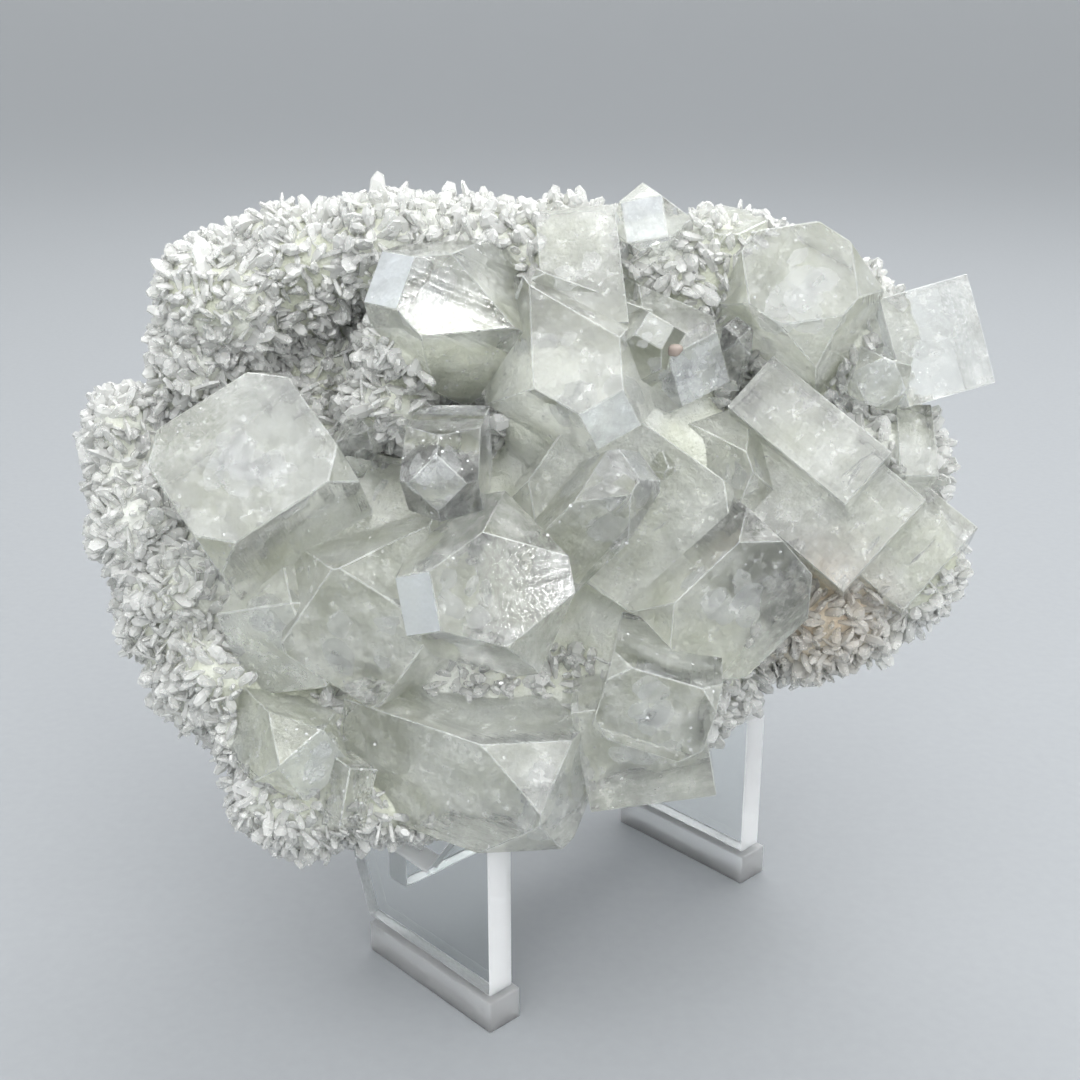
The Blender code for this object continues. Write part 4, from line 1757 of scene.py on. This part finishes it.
@dataclass
class Stand:
    """The clear stand: two sheet legs, their foot strips and the bar between them."""

    turn: float = 133.4
    edge: float = 0.18
    facing: float = 0.9
    plates: tuple[str, ...] = ("stand_leg_left", "stand_leg_right")
    strips: tuple[str, ...] = ("stand_foot_left", "stand_foot_right", "stand_cross_bar")

    def copy(self, node: str) -> bpy.types.Object:
        """Return a merged copy of a CAD node, in the row frame.

        Args:
            node: The CAD node's name.

        Returns:
            The copy, with no material.
        """
        bm = bmesh.new()
        bm.from_mesh(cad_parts[node].data)
        bmesh.ops.remove_doubles(bm, verts=bm.verts[:], dist=1e-6)
        bmesh.ops.dissolve_limit(
            bm,
            angle_limit=math.radians(1),
            verts=bm.verts[:],
            edges=bm.edges[:],
            use_dissolve_boundaries=False,
        )
        bmesh.ops.recalc_face_normals(bm, faces=bm.faces[:])
        piece = object_from(node.replace("stand_", "acrylic_"), bm)
        piece.data.materials.clear()
        return piece

    def in_face_frame(self) -> bpy.types.Object:
        """Return the stand's solids as one mesh in the face frame, which the crust keeps clear of.

        Returns:
            One object that the scatter measures against.
        """
        bm = bmesh.new()
        for node in self.plates + self.strips:
            bm.from_mesh(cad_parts[node].data)
        bm.transform(face_to_row().inverted())
        return object_from("stand_to_clear", bm)

    def dress(
        self, piece: bpy.types.Object, slot: str, node: str, finishes: list[bpy.types.Material]
    ) -> None:
        """Break the piece's edges, give each face its finish and seat it.

        Args:
            piece: The piece, in the row frame.
            slot: The record's material slot.
            node: The CAD node that it stands for.
            finishes: The polished finish and the sawn finish.
        """
        turn = math.radians(self.turn)
        along = Vector((math.cos(turn), math.sin(turn), 0))
        ways = (Vector((-along.y, along.x, 0)), along)
        for finish in finishes:
            piece.data.materials.append(finish)
        faces = piece.data.polygons
        sheet = max(ways, key=lambda way: sum(abs(p.normal.dot(way)) * p.area for p in faces))
        for polygon in faces:
            polished = abs(polygon.normal.dot(sheet)) > self.facing and slot == "clear_sheet"
            polygon.material_index = 0 if polished else 1
        bevel = piece.modifiers.new("broken_edges", "BEVEL")
        bevel.width = self.edge * MM
        bevel.segments = 2
        bevel.limit_method = "ANGLE"
        bevel.material = 1
        finish_modifiers(piece)
        seat(piece, slot, node)

    def build(
        self, polished: bpy.types.Material, edge: bpy.types.Material, strip: bpy.types.Material
    ) -> None:
        """Build and seat every piece of the stand.

        Args:
            polished: The finish of the sheets' faces.
            edge: The finish of the sheets' sawn edges.
            strip: The finish of the foot strips.
        """
        for node in self.plates:
            self.dress(self.copy(node), "clear_sheet", node, [polished, edge])
        for node in self.strips:
            slot = "clear_sheet" if node == "stand_cross_bar" else "sawn_sheet"
            self.dress(self.copy(node), slot, node, [polished, strip])


@dataclass
class Studio:
    """The pale floor, the soft lights and the camera."""

    camera_distance: float = 165.0
    lens: float = 50.0
    floor_half: float = 60.0
    world_top: str = "#EEF0F2"
    world_low: str = "#C6CACC"
    world_strength: float = 1.32

    def floor(self, material: bpy.types.Material) -> None:
        """Lay the floor.

        Args:
            material: The floor's finish.
        """
        bm = bmesh.new()
        bmesh.ops.create_grid(bm, x_segments=8, y_segments=8, size=self.floor_half)
        floor = object_from("studio_floor", bm)
        floor.data.materials.append(material)

    def camera(self) -> None:
        """Set the camera where the photograph was taken from."""
        data = bpy.data.cameras.new("camera")
        data.lens = self.lens
        data.sensor_width = 36.0
        data.clip_start = 0.005
        camera = bpy.data.objects.new("camera", data)
        bpy.context.scene.collection.objects.link(camera)
        target = Vector(FACE_CENTRE) * MM
        away = Vector((0.0, -math.cos(FACE_LEAN), math.sin(FACE_LEAN)))
        camera.location = target + away * self.camera_distance * MM
        camera.rotation_euler = (-away).to_track_quat("-Z", "Y").to_euler()
        bpy.context.scene.camera = camera

    def light(
        self,
        name: str,
        turn: float,
        height: float,
        away: float,
        size: tuple[float, float],
        watts: float,
    ) -> None:
        """Hang one rectangular soft light that faces the cluster.

        Args:
            name: The light's name.
            turn: Its direction round the cluster, in degrees to the right of the viewer.
            height: Its direction above the table, in degrees.
            away: Its distance, in metres.
            size: Its width and height, in metres.
            watts: Its power.
        """
        data = bpy.data.lights.new(name, "AREA")
        data.shape = "RECTANGLE"
        data.size, data.size_y = size
        data.energy = watts
        light = bpy.data.objects.new(name, data)
        bpy.context.scene.collection.objects.link(light)
        turn, height = math.radians(turn), math.radians(height)
        level = math.cos(height)
        way = Vector((math.sin(turn) * level, -math.cos(turn) * level, math.sin(height)))
        light.location = Vector(FACE_CENTRE) * MM + way * away
        light.rotation_euler = (-way).to_track_quat("-Z", "Y").to_euler()

    def lights(self) -> None:
        """Hang the lights and set a soft world that darkens towards the ground."""
        self.light("key_light", 20.0, 60.0, 0.65, (0.80, 0.80), 4.2)
        self.light("back_light", 160.0, 55.0, 0.60, (0.60, 0.40), 2.0)
        self.light("right_glint", 25.0, 18.0, 0.50, (0.06, 0.06), 0.26)
        self.light("left_glint", -26.0, 20.0, 0.50, (0.05, 0.05), 0.18)
        world = bpy.data.worlds.new("studio_world")
        bpy.context.scene.world = world
        world.use_nodes = True
        tree = world.node_tree
        tree.nodes.clear()
        way = add(tree, "ShaderNodeTexCoord").outputs["Generated"]
        height = add(tree, "ShaderNodeSeparateXYZ", {0: way}).outputs["Z"]
        rise = add(
            tree, "ShaderNodeMapRange", {"Value": height, "From Min": -0.2, "From Max": 0.9}
        ).outputs[0]
        colour = add(
            tree,
            "ShaderNodeMix",
            {0: rise, 6: linear(self.world_low), 7: linear(self.world_top)},
            data_type="RGBA",
        ).outputs[2]
        sky = add(
            tree, "ShaderNodeBackground", {"Color": colour, "Strength": self.world_strength}
        ).outputs[0]
        add(tree, "ShaderNodeOutputWorld", {"Surface": sky})
        cycles = bpy.context.scene.cycles
        cycles.use_light_tree = False
        cycles.max_bounces = 9
        cycles.transmission_bounces = 8
        cycles.glossy_bounces = 3
        cycles.diffuse_bounces = 3
        cycles.adaptive_threshold = 0.15
        cycles.sample_clamp_indirect = 25.0
        bpy.context.scene.view_settings.view_transform = "Standard"

    def build(self) -> None:
        """Set up the whole studio."""
        self.camera()
        self.lights()
        self.floor(BackdropPaper().material())


def main() -> None:
    """Build the cluster, the stand and the studio."""
    logging.basicConfig(level=logging.INFO, format="%(relativeCreated)6.0f ms  %(message)s")
    Studio().build()
    stand = Stand()
    big = BigCrystals()
    base = Ground()
    crystals = big.build()
    ground = base.build()
    clear_of = stand.in_face_frame()
    blades = Blades().build()
    druse = SugaryDruse().material()
    front = Crust("crust_front", -6.0, 40.0)
    front.build(ground, crystals, clear_of, blades, druse)
    none_bare = (0.0, 0.0, 0.0)
    back = Crust("crust_back", -60.0, -6.0, spacing=0.95, bare=none_bare, seed=8)
    back.build(ground, crystals, clear_of, blades, druse)
    bpy.data.objects.remove(clear_of)
    # The flecks' white plates are painted glints that stand in for light sparkling on the crystals' faces
    Flecks().build(crystals, PearlyCleavage("bright_cleavage", 0.25).material())
    cracks = Cracks()
    cracks.build(PearlyCleavage("faint_cleavage", 0.80).material())
    cracks.build_bubble(ClayBubble().material())
    big.dress(crystals, GrownApophyllite().material())
    base.dress(ground, MassiveGround().material())
    edge = SawnAcrylic("sawn_edge", (0.12, 0.48)).material()
    strip = SawnAcrylic("sawn_strip", (0.45, 0.85)).material()
    stand.build(CastAcrylic().material(), edge, strip)


if __name__ == "__main__":
    main()
